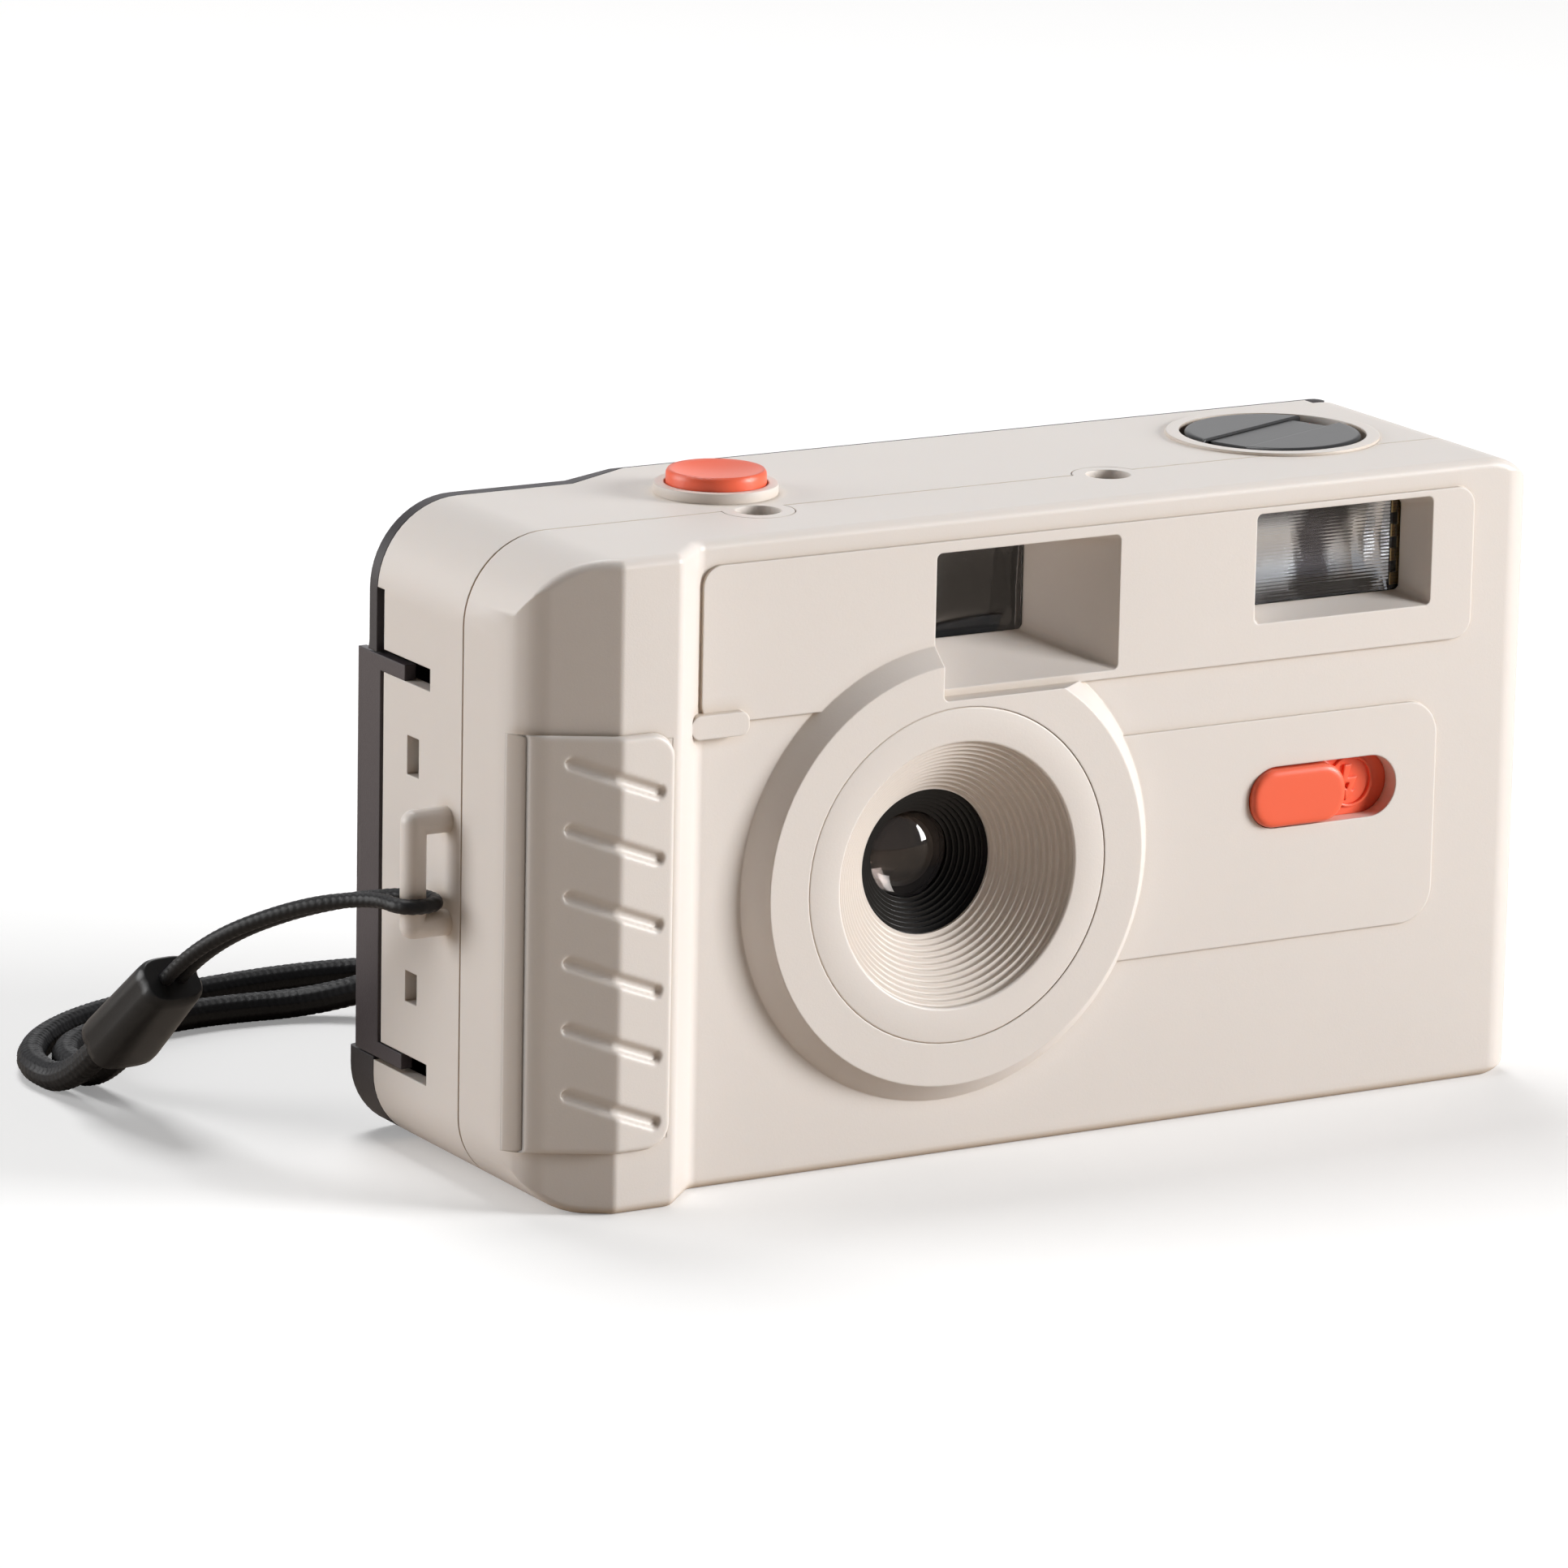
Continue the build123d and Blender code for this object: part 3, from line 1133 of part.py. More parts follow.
with BuildPart() as switch_contact:
    box_between(
        slot_left_x - 3.0, slot_left_x + 4.0, switch_floor_y + 1.15,
        switch_floor_y + 1.45, slot_z - 1.5, slot_z + 1.5
    )
switch_contact.part.label = "switch_contact"
export_step(switch_contact.part, "parts/switch_contact.step")

# Battery contacts
with BuildPart() as battery_contact_top:
    box_between(
        cell_x - 3.6, cell_x + 3.6, cell_y - 2.0, cell_y + 3.6,
        cell_bottom_z + cell_length + 0.5, cell_bottom_z + cell_length + 0.85,
    )
    upright(1.6, cell_x, cell_y, cell_bottom_z + cell_length + 0.1, cell_bottom_z + cell_length + 0.6)
battery_contact_top.part.label = "battery_contact_top"
export_step(battery_contact_top.part, "parts/battery_contact_top.step")

with BuildPart() as battery_contact_bottom:
    box_between(
        cell_x - 3.6, cell_x + 3.6, cell_y - 2.0,
        cell_y + 3.6, cell_bottom_z - 1.15, cell_bottom_z - 0.85
    )
    with BuildSketch(Plane.YZ.offset(cell_x - 1.5)):
        with BuildLine():
            Polyline(
                (cell_y + 3.0, cell_bottom_z - 0.9),
                (cell_y - 1.6, cell_bottom_z + 1.2),
                (cell_y - 2.6, cell_bottom_z + 0.6),
            )
        trace(line_width=0.3)
    extrude(amount=3.0)
battery_contact_bottom.part.label = "battery_contact_bottom"
export_step(battery_contact_bottom.part, "parts/battery_contact_bottom.step")

# Battery door: the grooved panel of the grip, which slides down
door_right_x = grip_right_x - 0.8
door_skin = 0.12
groove_depth = 0.4
groove_width = 1.15
groove_count = 6
groove_pitch = 6.38
with BuildPart() as groove_cutter:
    with BuildSketch(Plane.XY):
        add(front_plan(-skin_proud - 1.0))
        add(front_plan(-(skin_proud - groove_depth)), mode=Mode.SUBTRACT)
    extrude(amount=body_height)
    with BuildSketch(facing_front(part_y)):
        for groove in range(groove_count):
            groove_z = 42.28 - groove * groove_pitch
            with Locations(Location((left_x + 8.45, groove_z, 0), (0, 0, -21.0))):
                SlotOverall(9.6, groove_width)
    extrude(amount=body_depth, mode=Mode.INTERSECT)
with BuildPart() as battery_door:
    with BuildSketch(Plane.XY):
        add(front_plan(-skin_proud))
        add(front_plan(-door_skin), mode=Mode.SUBTRACT)
    extrude(amount=body_height)
    with BuildSketch(facing_front(part_y - 2.0)):
        with Locations(((left_x + door_right_x) / 2, (door_bottom_z + door_top_z) / 2)):
            RectangleRounded(door_right_x - left_x, door_top_z - door_bottom_z, 3.0)
        with Locations((left_x + 2.0, (door_bottom_z + door_top_z) / 2)):
            Rectangle(4.0, door_top_z - door_bottom_z)
    extrude(amount=body_depth, mode=Mode.INTERSECT)
    add(groove_cutter.part, mode=Mode.SUBTRACT)
    # hooks that hold the panel behind the edge of the opening
    for hook_z in (12.0, 35.0):
        for side in (-1, 1):
            hook_x = cell_x - 0.2 + side * (cell_radius - 0.8)
            hook_front_y = grip_y - door_skin if side > 0 else grip_y + 1.4
            box_between(
                hook_x - 0.4, hook_x + 0.4, hook_front_y - 0.3,
                grip_y + wall + 1.6, hook_z, hook_z + 3.0
            )
battery_door.part.label = "battery_door"
export_step(battery_door.part, "parts/battery_door.step")

# Back cover: the hinged door with the thumb scoop
scoop_wall = 1.6
latch_room = 0.15
slab_gap = wall + door_gap
with BuildPart() as scoop_cutter:
    with BuildSketch(Plane.XY):
        with BuildLine():
            Polyline(
                (left_x - 1, scoop_y + scoop_wall),
                (scoop_right_x, scoop_y + scoop_wall),
                (scoop_right_x + scoop_ramp, back_y + 0.01),
                (scoop_right_x + scoop_ramp, back_y + 1),
                (left_x - 1, back_y + 1),
                close=True,
            )
        make_face()
    extrude(amount=body_height + 1)
    with BuildSketch(Plane.YZ.offset(left_x - 2)):
        with BuildLine():
            Line((back_y + 1, scoop_bottom_z - 3.6), (back_y - 0.2, scoop_bottom_z - 3.2))
            ThreePointArc(
                (back_y - 0.2, scoop_bottom_z - 3.2),
                (back_y - 2.2, scoop_bottom_z - 1.9),
                (scoop_y + scoop_wall, scoop_bottom_z + 1.0),
            )
            Line((scoop_y + scoop_wall, scoop_bottom_z + 1.0), (scoop_y + scoop_wall, top_z + 2))
            Line((scoop_y + scoop_wall, top_z + 2), (back_y + 1, top_z + 2))
            Line((back_y + 1, top_z + 2), (back_y + 1, scoop_bottom_z - 3.6))
        make_face()
    extrude(amount=60.0, mode=Mode.INTERSECT)
with BuildPart() as back_cover:
    with BuildSketch(facing_front(back_y)):
        add(case_outline())
    extrude(amount=back_y - scoop_y)
    fillet(back_cover.edges().group_by(Axis.Y)[-1], 0.7)
    with BuildSketch(Plane.XY):
        add(rear_plan(seat_gap))
    extrude(amount=body_height, mode=Mode.SUBTRACT)
    # stiffening slab and the inner rim that keeps out light
    with BuildSketch(facing_front(rear_y + 0.3)):
        add(case_outline(slab_gap))
    extrude(amount=0.3 + rear_y - door_inner_y)
    with BuildSketch(facing_front(rear_y)):
        add(case_outline(slab_gap))
        add(case_outline(slab_gap + 1.1), mode=Mode.SUBTRACT)
    extrude(amount=2.5)
    # hollow behind the thick left part
    with BuildSketch(Plane.XY.offset(wall + 1.4)):
        with Locations((left_x + 3.4 + 8.0, scoop_y + (door_inner_y - scoop_y) / 2)):
            Rectangle(17.0, door_inner_y - scoop_y)
    extrude(amount=scoop_bottom_z - 8.0, mode=Mode.SUBTRACT)
    add(scoop_cutter.part, mode=Mode.SUBTRACT)
    # right end, round about the hinge
    box_between(hinge_x, right_x + 1, scoop_y - 4, back_y + 1, -1, top_z + 1, Mode.SUBTRACT)
    box_between(hinge_x - 9.0, right_x, scoop_y - 4, door_inner_y, -1, top_z + 1, Mode.SUBTRACT)
    box_between(hinge_x - 3.0, right_x, scoop_y - 4, rear_y + seat_gap, -1, top_z + 1, Mode.SUBTRACT)
    upright(hinge_barrel, hinge_x, hinge_y, 1.2, top_z - 2.2)
    upright(
        hinge_barrel + door_gap, hinge_x, hinge_y, knuckle_low - 0.2, knuckle_high + 0.2, Mode.SUBTRACT
    )
    upright(
        hinge_pin_radius + running_fit, hinge_x, hinge_y, knuckle_low - 10, knuckle_high + 10,
        Mode.SUBTRACT
    )
    # slot for the advance wheel
    box_between(
        spool_x - 9.4, spool_x + 9.4, scoop_y - 4,
        back_y, wheel_bottom_z - 0.3, wheel_bottom_z + wheel_height + 0.3,
        Mode.SUBTRACT,
    )
    # room for the latch
    box_between(
        left_x - 1, left_x + latch_plate + latch_room, latch_front_y - 6, latch_pin_y,
        latch_bottom_z - latch_room, latch_top_z + latch_room, Mode.SUBTRACT,
    )
    box_between(
        left_x - 1, latch_pin_x, latch_pin_y - latch_barrel - latch_room, back_y + 1,
        latch_bottom_z - latch_room, latch_top_z + latch_room, Mode.SUBTRACT,
    )
    upright(
        latch_barrel + latch_room, latch_pin_x, latch_pin_y,
        latch_bottom_z - latch_room, latch_top_z + latch_room, Mode.SUBTRACT,
    )
    upright(latch_barrel, latch_pin_x, latch_pin_y, lens_z - 2.4, lens_z + 2.4)
    box_between(
        latch_pin_x, latch_pin_x + 2.0, latch_pin_y - latch_barrel, latch_pin_y + latch_barrel,
        lens_z - 2.4, lens_z + 2.4,
    )
    upright(latch_pin_radius + 0.01, latch_pin_x, latch_pin_y, lens_z - 16, lens_z + 16, Mode.SUBTRACT)
    # eyepiece, counter window, film window and ready lamp
    with BuildSketch(facing_front(back_y + 1)):
        with Locations((pane_x, pane_z)):
            RectangleRounded(eyepiece_width + 0.1, eyepiece_height + 0.1, 0.05)
        with Locations((dial_x, dial_bottom_z + dial_height / 2 + 0.4)):
            Rectangle(6.1, 4.1)
        with Locations((rewind_x, lens_z)):
            Rectangle(7.1, 20.1)
        with Locations((pane_x + 9.8, pane_z)):
            Circle(1.55)
    extrude(amount=12.0, mode=Mode.SUBTRACT)
back_cover.part.label = "back_cover"
export_step(back_cover.part, "parts/back_cover.step")

with BuildPart() as hinge_pin:
    upright(hinge_pin_radius, hinge_x, hinge_y, knuckle_low - 9.5, knuckle_high + 9.5)
hinge_pin.part.label = "hinge_pin"
export_step(hinge_pin.part, "parts/hinge_pin.step")

# Clear windows and the lamp pipe of the door
with BuildPart() as film_window:
    box_between(
        rewind_x - 3.5, rewind_x + 3.5, door_inner_y, back_y - 0.3, lens_z - 10.0, lens_z + 10.0
    )
film_window.part.label = "film_window"
export_step(film_window.part, "parts/film_window.step")

with BuildPart() as counter_window:
    box_between(
        dial_x - 3.0, dial_x + 3.0, door_inner_y, back_y - 0.3,
        dial_bottom_z + dial_height / 2 - 1.6, dial_bottom_z + dial_height / 2 + 2.4,
    )
counter_window.part.label = "counter_window"
export_step(counter_window.part, "parts/counter_window.step")

with BuildPart() as ready_lamp:
    lengthwise(1.5, pane_x + 9.8, pane_z, door_inner_y - 0.6, back_y + 0.2 - 0.2)
ready_lamp.part.label = "ready_lamp"
export_step(ready_lamp.part, "parts/ready_lamp.step")

# Pressure plate and its leaf spring
press_y = film_y + 0.5
press_thick = 0.8
with BuildPart() as pressure_plate:
    box_between(
        lens_x - 22.0, lens_x + 26.0, press_y, press_y + press_thick, lens_z - 17.0, lens_z + 17.0
    )
    fillet(pressure_plate.edges().filter_by(Axis.Y), 2.0)
    box_between(
        sprocket_x - 6.5, sprocket_x + 6.5, press_y - 1, press_y + press_thick + 1,
        sprocket_z - 2.2, sprocket_z + 2.2, Mode.SUBTRACT,
    )
pressure_plate.part.label = "pressure_plate"
export_step(pressure_plate.part, "parts/pressure_plate.step")

with BuildPart() as plate_spring:
    with BuildSketch(Plane.XY.offset(lens_z - 4.0)):
        with BuildLine():
            Polyline(
                (lens_x - 16.0, door_inner_y - 0.2),
                (lens_x - 10.0, door_inner_y - 0.3),
                (lens_x - 2.0, press_y + press_thick + 0.22),
                (lens_x + 6.0, press_y + press_thick + 0.22),
                (lens_x + 14.0, door_inner_y - 0.3),
                (lens_x + 20.0, door_inner_y - 0.2),
            )
        trace(line_width=0.3)
    extrude(amount=8.0)
plate_spring.part.label = "plate_spring"
export_step(plate_spring.part, "parts/plate_spring.step")

# Latch on the left edge of the door, and its pin
with BuildPart() as latch:
    box_between(left_x, left_x + latch_plate, latch_front_y, latch_pin_y, latch_bottom_z, latch_top_z)
    for arm_low, arm_high in (
        (latch_bottom_z, latch_bottom_z + latch_arm), (latch_top_z - latch_arm, latch_top_z)
    ):
        box_between(left_x, left_x + latch_plate, latch_arm_y, latch_front_y + 0.2, arm_low, arm_high)
    upright(latch_barrel, latch_pin_x, latch_pin_y, latch_bottom_z + 2.0, latch_top_z - 5.5)
    box_between(
        left_x + 0.3, latch_pin_x, latch_pin_y - latch_barrel,
        latch_pin_y, latch_bottom_z + 2.0, latch_top_z - 5.5
    )
    upright(
        latch_barrel + door_gap, latch_pin_x, latch_pin_y, lens_z - 2.6, lens_z + 2.6, Mode.SUBTRACT
    )
    upright(latch_pin_radius + running_fit, latch_pin_x, latch_pin_y, 0, top_z, Mode.SUBTRACT)
latch.part.label = "latch"
export_step(latch.part, "parts/latch.step")

with BuildPart() as latch_pin:
    upright(latch_pin_radius, latch_pin_x, latch_pin_y, lens_z - 14, lens_z + 14)
latch_pin.part.label = "latch_pin"
export_step(latch_pin.part, "parts/latch_pin.step")

# Foam strips that keep light out of the film chambers
with BuildPart() as light_seals:
    box_between(hinge_x - 6.4, hinge_x - 4.4, door_inner_y - 1.3, door_inner_y, 6.0, top_z - 10.0)
light_seals.part.label = "light_seals"
export_step(light_seals.part, "parts/light_seals.step")

# Wrist strap: a thin cord round the lug, a ferrule, and a thick loop that lies behind the camera
thin_cord = 1.5
thick_cord = 3.0
ferrule_length = 13.4
ferrule_thin_end = Vector(left_x - 15.7, front_y + 40.0, 15.5)
ferrule_axis = Vector(0.078, -0.749, 0.663)
ferrule_across = Vector(0.995, 0.104, 0.0)
ferrule_thick_end = ferrule_thin_end - ferrule_axis * ferrule_length
with BuildPart() as strap_ferrule:
    with BuildSketch(Plane(origin=ferrule_thick_end, x_dir=ferrule_across, z_dir=ferrule_axis)):
        RectangleRounded(7.6, 5.8, 2.6)
    with BuildSketch(Plane(origin=ferrule_thin_end, x_dir=ferrule_across, z_dir=ferrule_axis)):
        RectangleRounded(6.4, 5.2, 2.3)
    loft()
    fillet(strap_ferrule.faces().sort_by(Axis.Z)[-1].edges(), 0.8)
strap_ferrule.part.label = "strap_ferrule"
export_step(strap_ferrule.part, "parts/strap_ferrule.step")


def cord(points, diameter, hook_radius=None, hooks=()):
    """Cord of straight runs and round bends; the bends whose numbers are in hooks have the hook's size."""
    places = [Vector(*point) for point in points]
    radii = []
    for index in range(1, len(places) - 1):
        before = places[index] - places[index - 1]
        after = places[index + 1] - places[index]
        half_turn = math.radians(before.get_angle(after)) / 2
        radius = 0.45 * min(before.length, after.length) / math.tan(half_turn)
        radii.append(hook_radius if index in hooks else min(radius, 60.0))
    with BuildPart(mode=Mode.PRIVATE) as strand:
        with BuildLine() as path:
            FilletPolyline(*places, radius=radii)
        with BuildSketch(Plane(origin=path.line @ 0, z_dir=path.line % 0)):
            Circle(diameter / 2)
        sweep(path=path.line)
    length = sum(edge.length for edge in path.edges())
    section = math.pi * diameter**2 / 4
    print("cord bends", [round(radius, 1) for radius in radii], "length", round(length, 1))
    print("volume over section times length", round(strand.part.volume / (section * length), 3))
    return strand.part


thin_side = ferrule_across * (thin_cord / 2 + 0.1)
thick_side = ferrule_across * (thick_cord / 2 + 0.15)
lug_bar_x = left_x - lug_reach + lug_radius
hook = lug_radius + thin_cord / 2 + 0.15
thin_out = ferrule_thin_end - thin_side
thin_back = ferrule_thin_end + thin_side
thin_points = [
    tuple(thin_out),
    tuple(thin_out + ferrule_axis * 7.0),
    (lug_bar_x - 6.8, lug_y + 11.0, 25.6),
    (lug_bar_x - hook, lug_y + 3.6, 27.6),
    (lug_bar_x - hook, lug_y - hook, 27.8),
    (lug_bar_x + hook, lug_y - hook, 27.8),
    (lug_bar_x + hook, lug_y + 3.4, 27.6),
    (lug_bar_x - 4.6, lug_y + 11.6, 25.4),
    tuple(thin_back + ferrule_axis * 7.0),
    tuple(thin_back),
]
strap_cord_thin = BuildPart()
with strap_cord_thin:
    add(cord(thin_points, thin_cord, hook, (4, 5)))
strap_cord_thin.part.label = "strap_cord_thin"
export_step(strap_cord_thin.part, "parts/strap_cord_thin.step")

floor_z = thick_cord / 2
thick_out = ferrule_thick_end - thick_side
thick_back = ferrule_thick_end + thick_side
drop = (thick_out.Z - floor_z) / ferrule_axis.Z
# one turn and a half behind the camera, the last turn resting on the first
coil_x = left_x + 34.0
coil_y = front_y + 68.5
coil_reach = 8.7
coil_start = 35.4
coil_step = 42.43
coil_steps = 12
coil_climb = thick_cord + 0.25
coil_points = []
for step in range(coil_steps + 1):
    corner_reach = coil_reach / math.cos(math.radians(coil_step / 2))
    corner_angle = math.radians(coil_start - step * coil_step)
    climbed = min(max(step - 5.55, 0.0), 1.0)
    coil_points.append(
        (
            coil_x + corner_reach * math.cos(corner_angle),
            coil_y + corner_reach * math.sin(corner_angle),
            floor_z + coil_climb * climbed,
        )
    )
loop_points = [
    tuple(thick_out),
    tuple(thick_out - ferrule_axis * drop),
    (left_x - 19.9, front_y + 63.2, floor_z),
    (left_x - 15.6, front_y + 70.6, floor_z),
    (left_x - 8.0, front_y + 76.6, floor_z),
    (left_x + 4.0, front_y + 80.4, floor_z),
    (left_x + 20.0, front_y + 82.0, floor_z),
    (left_x + 32.0, front_y + 79.2, floor_z),
    *coil_points,
    (left_x + 24.2, front_y + 66.6, floor_z + coil_climb),
    (left_x + 16.4, front_y + 72.2, floor_z),
    (left_x + 6.0, front_y + 73.8, floor_z),
    (left_x - 2.6, front_y + 72.6, floor_z),
    (left_x - 11.0, front_y + 70.2, floor_z),
    (left_x - 16.2, front_y + 63.8, floor_z),
    tuple(thick_back - ferrule_axis * drop),
    tuple(thick_back),
]
strap_loop_thick = BuildPart()
with strap_loop_thick:
    add(cord(loop_points, thick_cord))
strap_loop_thick.part.label = "strap_loop_thick"
export_step(strap_loop_thick.part, "parts/strap_loop_thick.step")
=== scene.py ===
"""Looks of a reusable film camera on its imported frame: moulded case, lens, flash, knob, door and wrist strap."""

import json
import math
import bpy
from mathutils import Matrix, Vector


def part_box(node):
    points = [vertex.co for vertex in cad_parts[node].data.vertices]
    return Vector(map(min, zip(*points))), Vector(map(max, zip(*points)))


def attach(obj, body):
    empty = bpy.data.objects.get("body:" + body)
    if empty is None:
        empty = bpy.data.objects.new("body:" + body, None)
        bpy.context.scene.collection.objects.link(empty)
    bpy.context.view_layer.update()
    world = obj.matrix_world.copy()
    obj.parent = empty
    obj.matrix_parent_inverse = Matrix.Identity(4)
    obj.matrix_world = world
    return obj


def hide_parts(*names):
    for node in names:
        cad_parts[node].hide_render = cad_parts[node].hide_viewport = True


bl_info = {
    "name": "Reusable Film Camera",
    "version": (1, 0, 0),
    "blender": (4, 5, 0),
    "location": "3D View > Sidebar > Film Camera",
    "description": "Finishes the pieces of a reusable film camera and sets it on a pale table",
    "category": "Object",
}

import bmesh
import bpy
import numpy as np
from bpy.props import FloatProperty, FloatVectorProperty, IntProperty, PointerProperty
from mathutils import Matrix, Vector

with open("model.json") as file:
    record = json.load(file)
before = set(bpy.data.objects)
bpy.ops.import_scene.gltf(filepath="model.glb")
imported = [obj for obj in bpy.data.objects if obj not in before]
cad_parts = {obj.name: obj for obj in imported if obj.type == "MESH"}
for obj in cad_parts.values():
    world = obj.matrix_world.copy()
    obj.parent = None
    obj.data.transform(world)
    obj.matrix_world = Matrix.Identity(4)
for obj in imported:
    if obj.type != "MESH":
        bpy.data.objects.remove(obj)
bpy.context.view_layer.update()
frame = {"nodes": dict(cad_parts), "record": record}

MM = 0.001

# Places in the frame, read from its nodes
case_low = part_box("front_cover")[0]
left_x = round(case_low.x / MM, 3)
grip_y = round(case_low.y / MM, 3)
# The grip stands this far before the front face, and the lug's bar lies this far behind it
grip_proud = 3.8
lug_behind = 14.0
front_y = grip_y + grip_proud
lug_y = front_y + lug_behind
BODY_OF = {node: body for body, nodes in frame["record"]["behaviour"]["bodies"].items() for node in nodes}


def middle(node):
    """Centre of a node's box."""
    low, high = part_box(node)
    return (low + high) / 2


# Sizes and colours that a user would change


class CaseLook(bpy.types.PropertyGroup):
    case_colour: FloatVectorProperty(
        name="Case", description="Light warm grey of the moulded case", subtype="COLOR",
        default=(0.765, 0.715, 0.675), min=0, max=1,
    )
    # Painted shade: a warm, darker tone that ambient occlusion mixes into the case's grooves and corners
    groove_shade_colour: FloatVectorProperty(
        name="Grooves", description="Warmer tone that gathers in the grooves and corners", subtype="COLOR",
        default=(0.60, 0.50, 0.40), min=0, max=1,
    )
    door_colour: FloatVectorProperty(
        name="Door", description="Dark grey of the back and its latch", subtype="COLOR",
        default=(0.028, 0.024, 0.027), min=0, max=1,
    )
    button_colour: FloatVectorProperty(
        name="Button", description="Orange-red of the button and the switch", subtype="COLOR",
        default=(0.98, 0.15, 0.07), min=0, max=1,
    )
    edge_radius: FloatProperty(
        name="Edge radius", description="Rounding of the small moulded edges", subtype="DISTANCE", unit="LENGTH",
        default=0.22 * MM, min=0.02 * MM, max=1.0 * MM,
    )


class FlashLook(bpy.types.PropertyGroup):
    rib_count: IntProperty(
        name="Ribs", description="Ribs across the height of the clear pane", default=34, min=4, max=60
    )
    rib_depth: FloatProperty(
        name="Rib depth", description="Height of each rib", subtype="DISTANCE", unit="LENGTH",
        default=0.03 * MM, min=0.01 * MM, max=0.3 * MM,
    )
    pane_thickness: FloatProperty(
        name="Pane", description="Thickness of the clear pane", subtype="DISTANCE", unit="LENGTH",
        default=0.8 * MM, min=0.4 * MM, max=1.0 * MM,
    )


class StrapLook(bpy.types.PropertyGroup):
    thin_diameter: FloatProperty(
        name="Thin cord", description="Diameter of the thin cord", subtype="DISTANCE", unit="LENGTH",
        default=1.5 * MM, min=0.5 * MM, max=3.0 * MM,
    )
    thick_diameter: FloatProperty(
        name="Thick cord", description="Diameter of the thick loop", subtype="DISTANCE", unit="LENGTH",
        default=3.0 * MM, min=1.0 * MM, max=6.0 * MM,
    )
    thin_columns: IntProperty(
        name="Thin braid", description="Columns of the thin cord's braid", default=6, min=4, max=16
    )
    thick_columns: IntProperty(
        name="Thick braid", description="Columns of the thick cord's braid", default=12, min=4, max=24
    )


class StageLook(bpy.types.PropertyGroup):
    floor_colour: FloatVectorProperty(
        name="Floor", description="Pale table under the camera", subtype="COLOR",
        default=(0.86, 0.86, 0.86), min=0, max=1,
    )
    key_power: FloatProperty(
        name="Left light", description="Power of the light on the left", unit="POWER", default=13.6, min=0
    )
    side_power: FloatProperty(
        name="Right light", description="Power of the light on the right", unit="POWER", default=33.5, min=0
    )
    top_power: FloatProperty(
        name="Top light", description="Power of the light above", unit="POWER", default=9.4, min=0
    )
    backdrop_power: FloatProperty(
        name="Backdrop", description="Power of the bright backdrop that shows in gloss", unit="POWER",
        default=2.0, min=0,
    )
    bounce_colour: FloatVectorProperty(
        name="Bounce", description="Colour of the light that the table sends back", subtype="COLOR",
        default=(0.56, 0.48, 0.41), min=0, max=1,
    )
    sky: FloatProperty(name="Sky", description="Strength of the even light all round", default=0.04, min=0, max=2)


# Finishes


def add_node(tree, kind, values=(), **settings):
    """Adds a node to a tree, sets its properties, and links or sets its inputs."""
    node = tree.nodes.new(kind)
    for name, value in settings.items():
        setattr(node, name, value)
    for key, value in dict(values).items():
        if isinstance(value, bpy.types.NodeSocket):
            tree.links.new(value, node.inputs[key])
        else:
            node.inputs[key].default_value = value
    return node


def calculate(tree, operation, one, other=0.0):
    """Result of a math node."""
    return add_node(tree, "ShaderNodeMath", {0: one, 1: other}, operation=operation).outputs[0]


def ranged(tree, value, low, high, first=0.0, last=1.0, **settings):
    """Value carried from one range over to another."""
    values = {"Value": value, "From Min": low, "From Max": high, "To Min": first, "To Max": last}
    return add_node(tree, "ShaderNodeMapRange", values, **settings).outputs["Result"]


def blended(tree, share, colour, other):
    """Colour between two others."""
    values = {"Factor": share, "A": colour, "B": other}
    return add_node(tree, "ShaderNodeMix", values, data_type="RGBA").outputs["Result"]


def object_noise(tree, scale, detail=2.0, stretch=None):
    """Noise on the piece's own coordinates."""
    place = add_node(tree, "ShaderNodeTexCoord").outputs["Object"]
    if stretch:
        place = add_node(tree, "ShaderNodeMapping", {"Vector": place, "Scale": stretch}).outputs["Vector"]
    return add_node(tree, "ShaderNodeTexNoise", {"Vector": place, "Scale": scale, "Detail": detail}).outputs["Fac"]


def shaded(colour, share):
    """The same colour, lighter or darker."""
    return tuple(value * share for value in colour)


def plain_finish(name, colour, roughness, sockets=()):
    """Material with one principled shader whose constant sockets are set."""
    material = bpy.data.materials.new(name)
    material.use_nodes = True
    shader = material.node_tree.nodes["Principled BSDF"]
    shader.inputs["Base Color"].default_value = (*colour, 1.0)
    shader.inputs["Roughness"].default_value = roughness
    for label, value in dict(sockets).items():
        shader.inputs[label].default_value = value
    return material, shader


def add_surface(shader, grain_scale, grain_height, edge_radius):
    """Fine grain, and small edges rounded in the shading."""
    tree = shader.id_data
    values = {"Strength": 0.6, "Distance": grain_height, "Height": object_noise(tree, grain_scale)}
    bump = add_node(tree, "ShaderNodeBump", values)
    if edge_radius > 0:
        edge = add_node(tree, "ShaderNodeBevel", {"Radius": edge_radius}, samples=6)
        tree.links.new(edge.outputs["Normal"], bump.inputs["Normal"])
    tree.links.new(bump.outputs["Normal"], shader.inputs["Normal"])


def add_mottle(shader, colour, other, scale, share):
    """Base colour that drifts softly between two close tones."""
    tree = shader.id_data
    amount = calculate(tree, "MULTIPLY", object_noise(tree, scale), share)
    drift = blended(tree, amount, (*colour, 1.0), (*other, 1.0))
    tree.links.new(drift, shader.inputs["Base Color"])
    return drift


def add_polish(shader, noise, roughness, low, high):
    """Roughness that wanders between two shares of its value."""
    polish = ranged(shader.id_data, noise, 0.0, 1.0, roughness * low, roughness * high)
    shader.id_data.links.new(polish, shader.inputs["Roughness"])


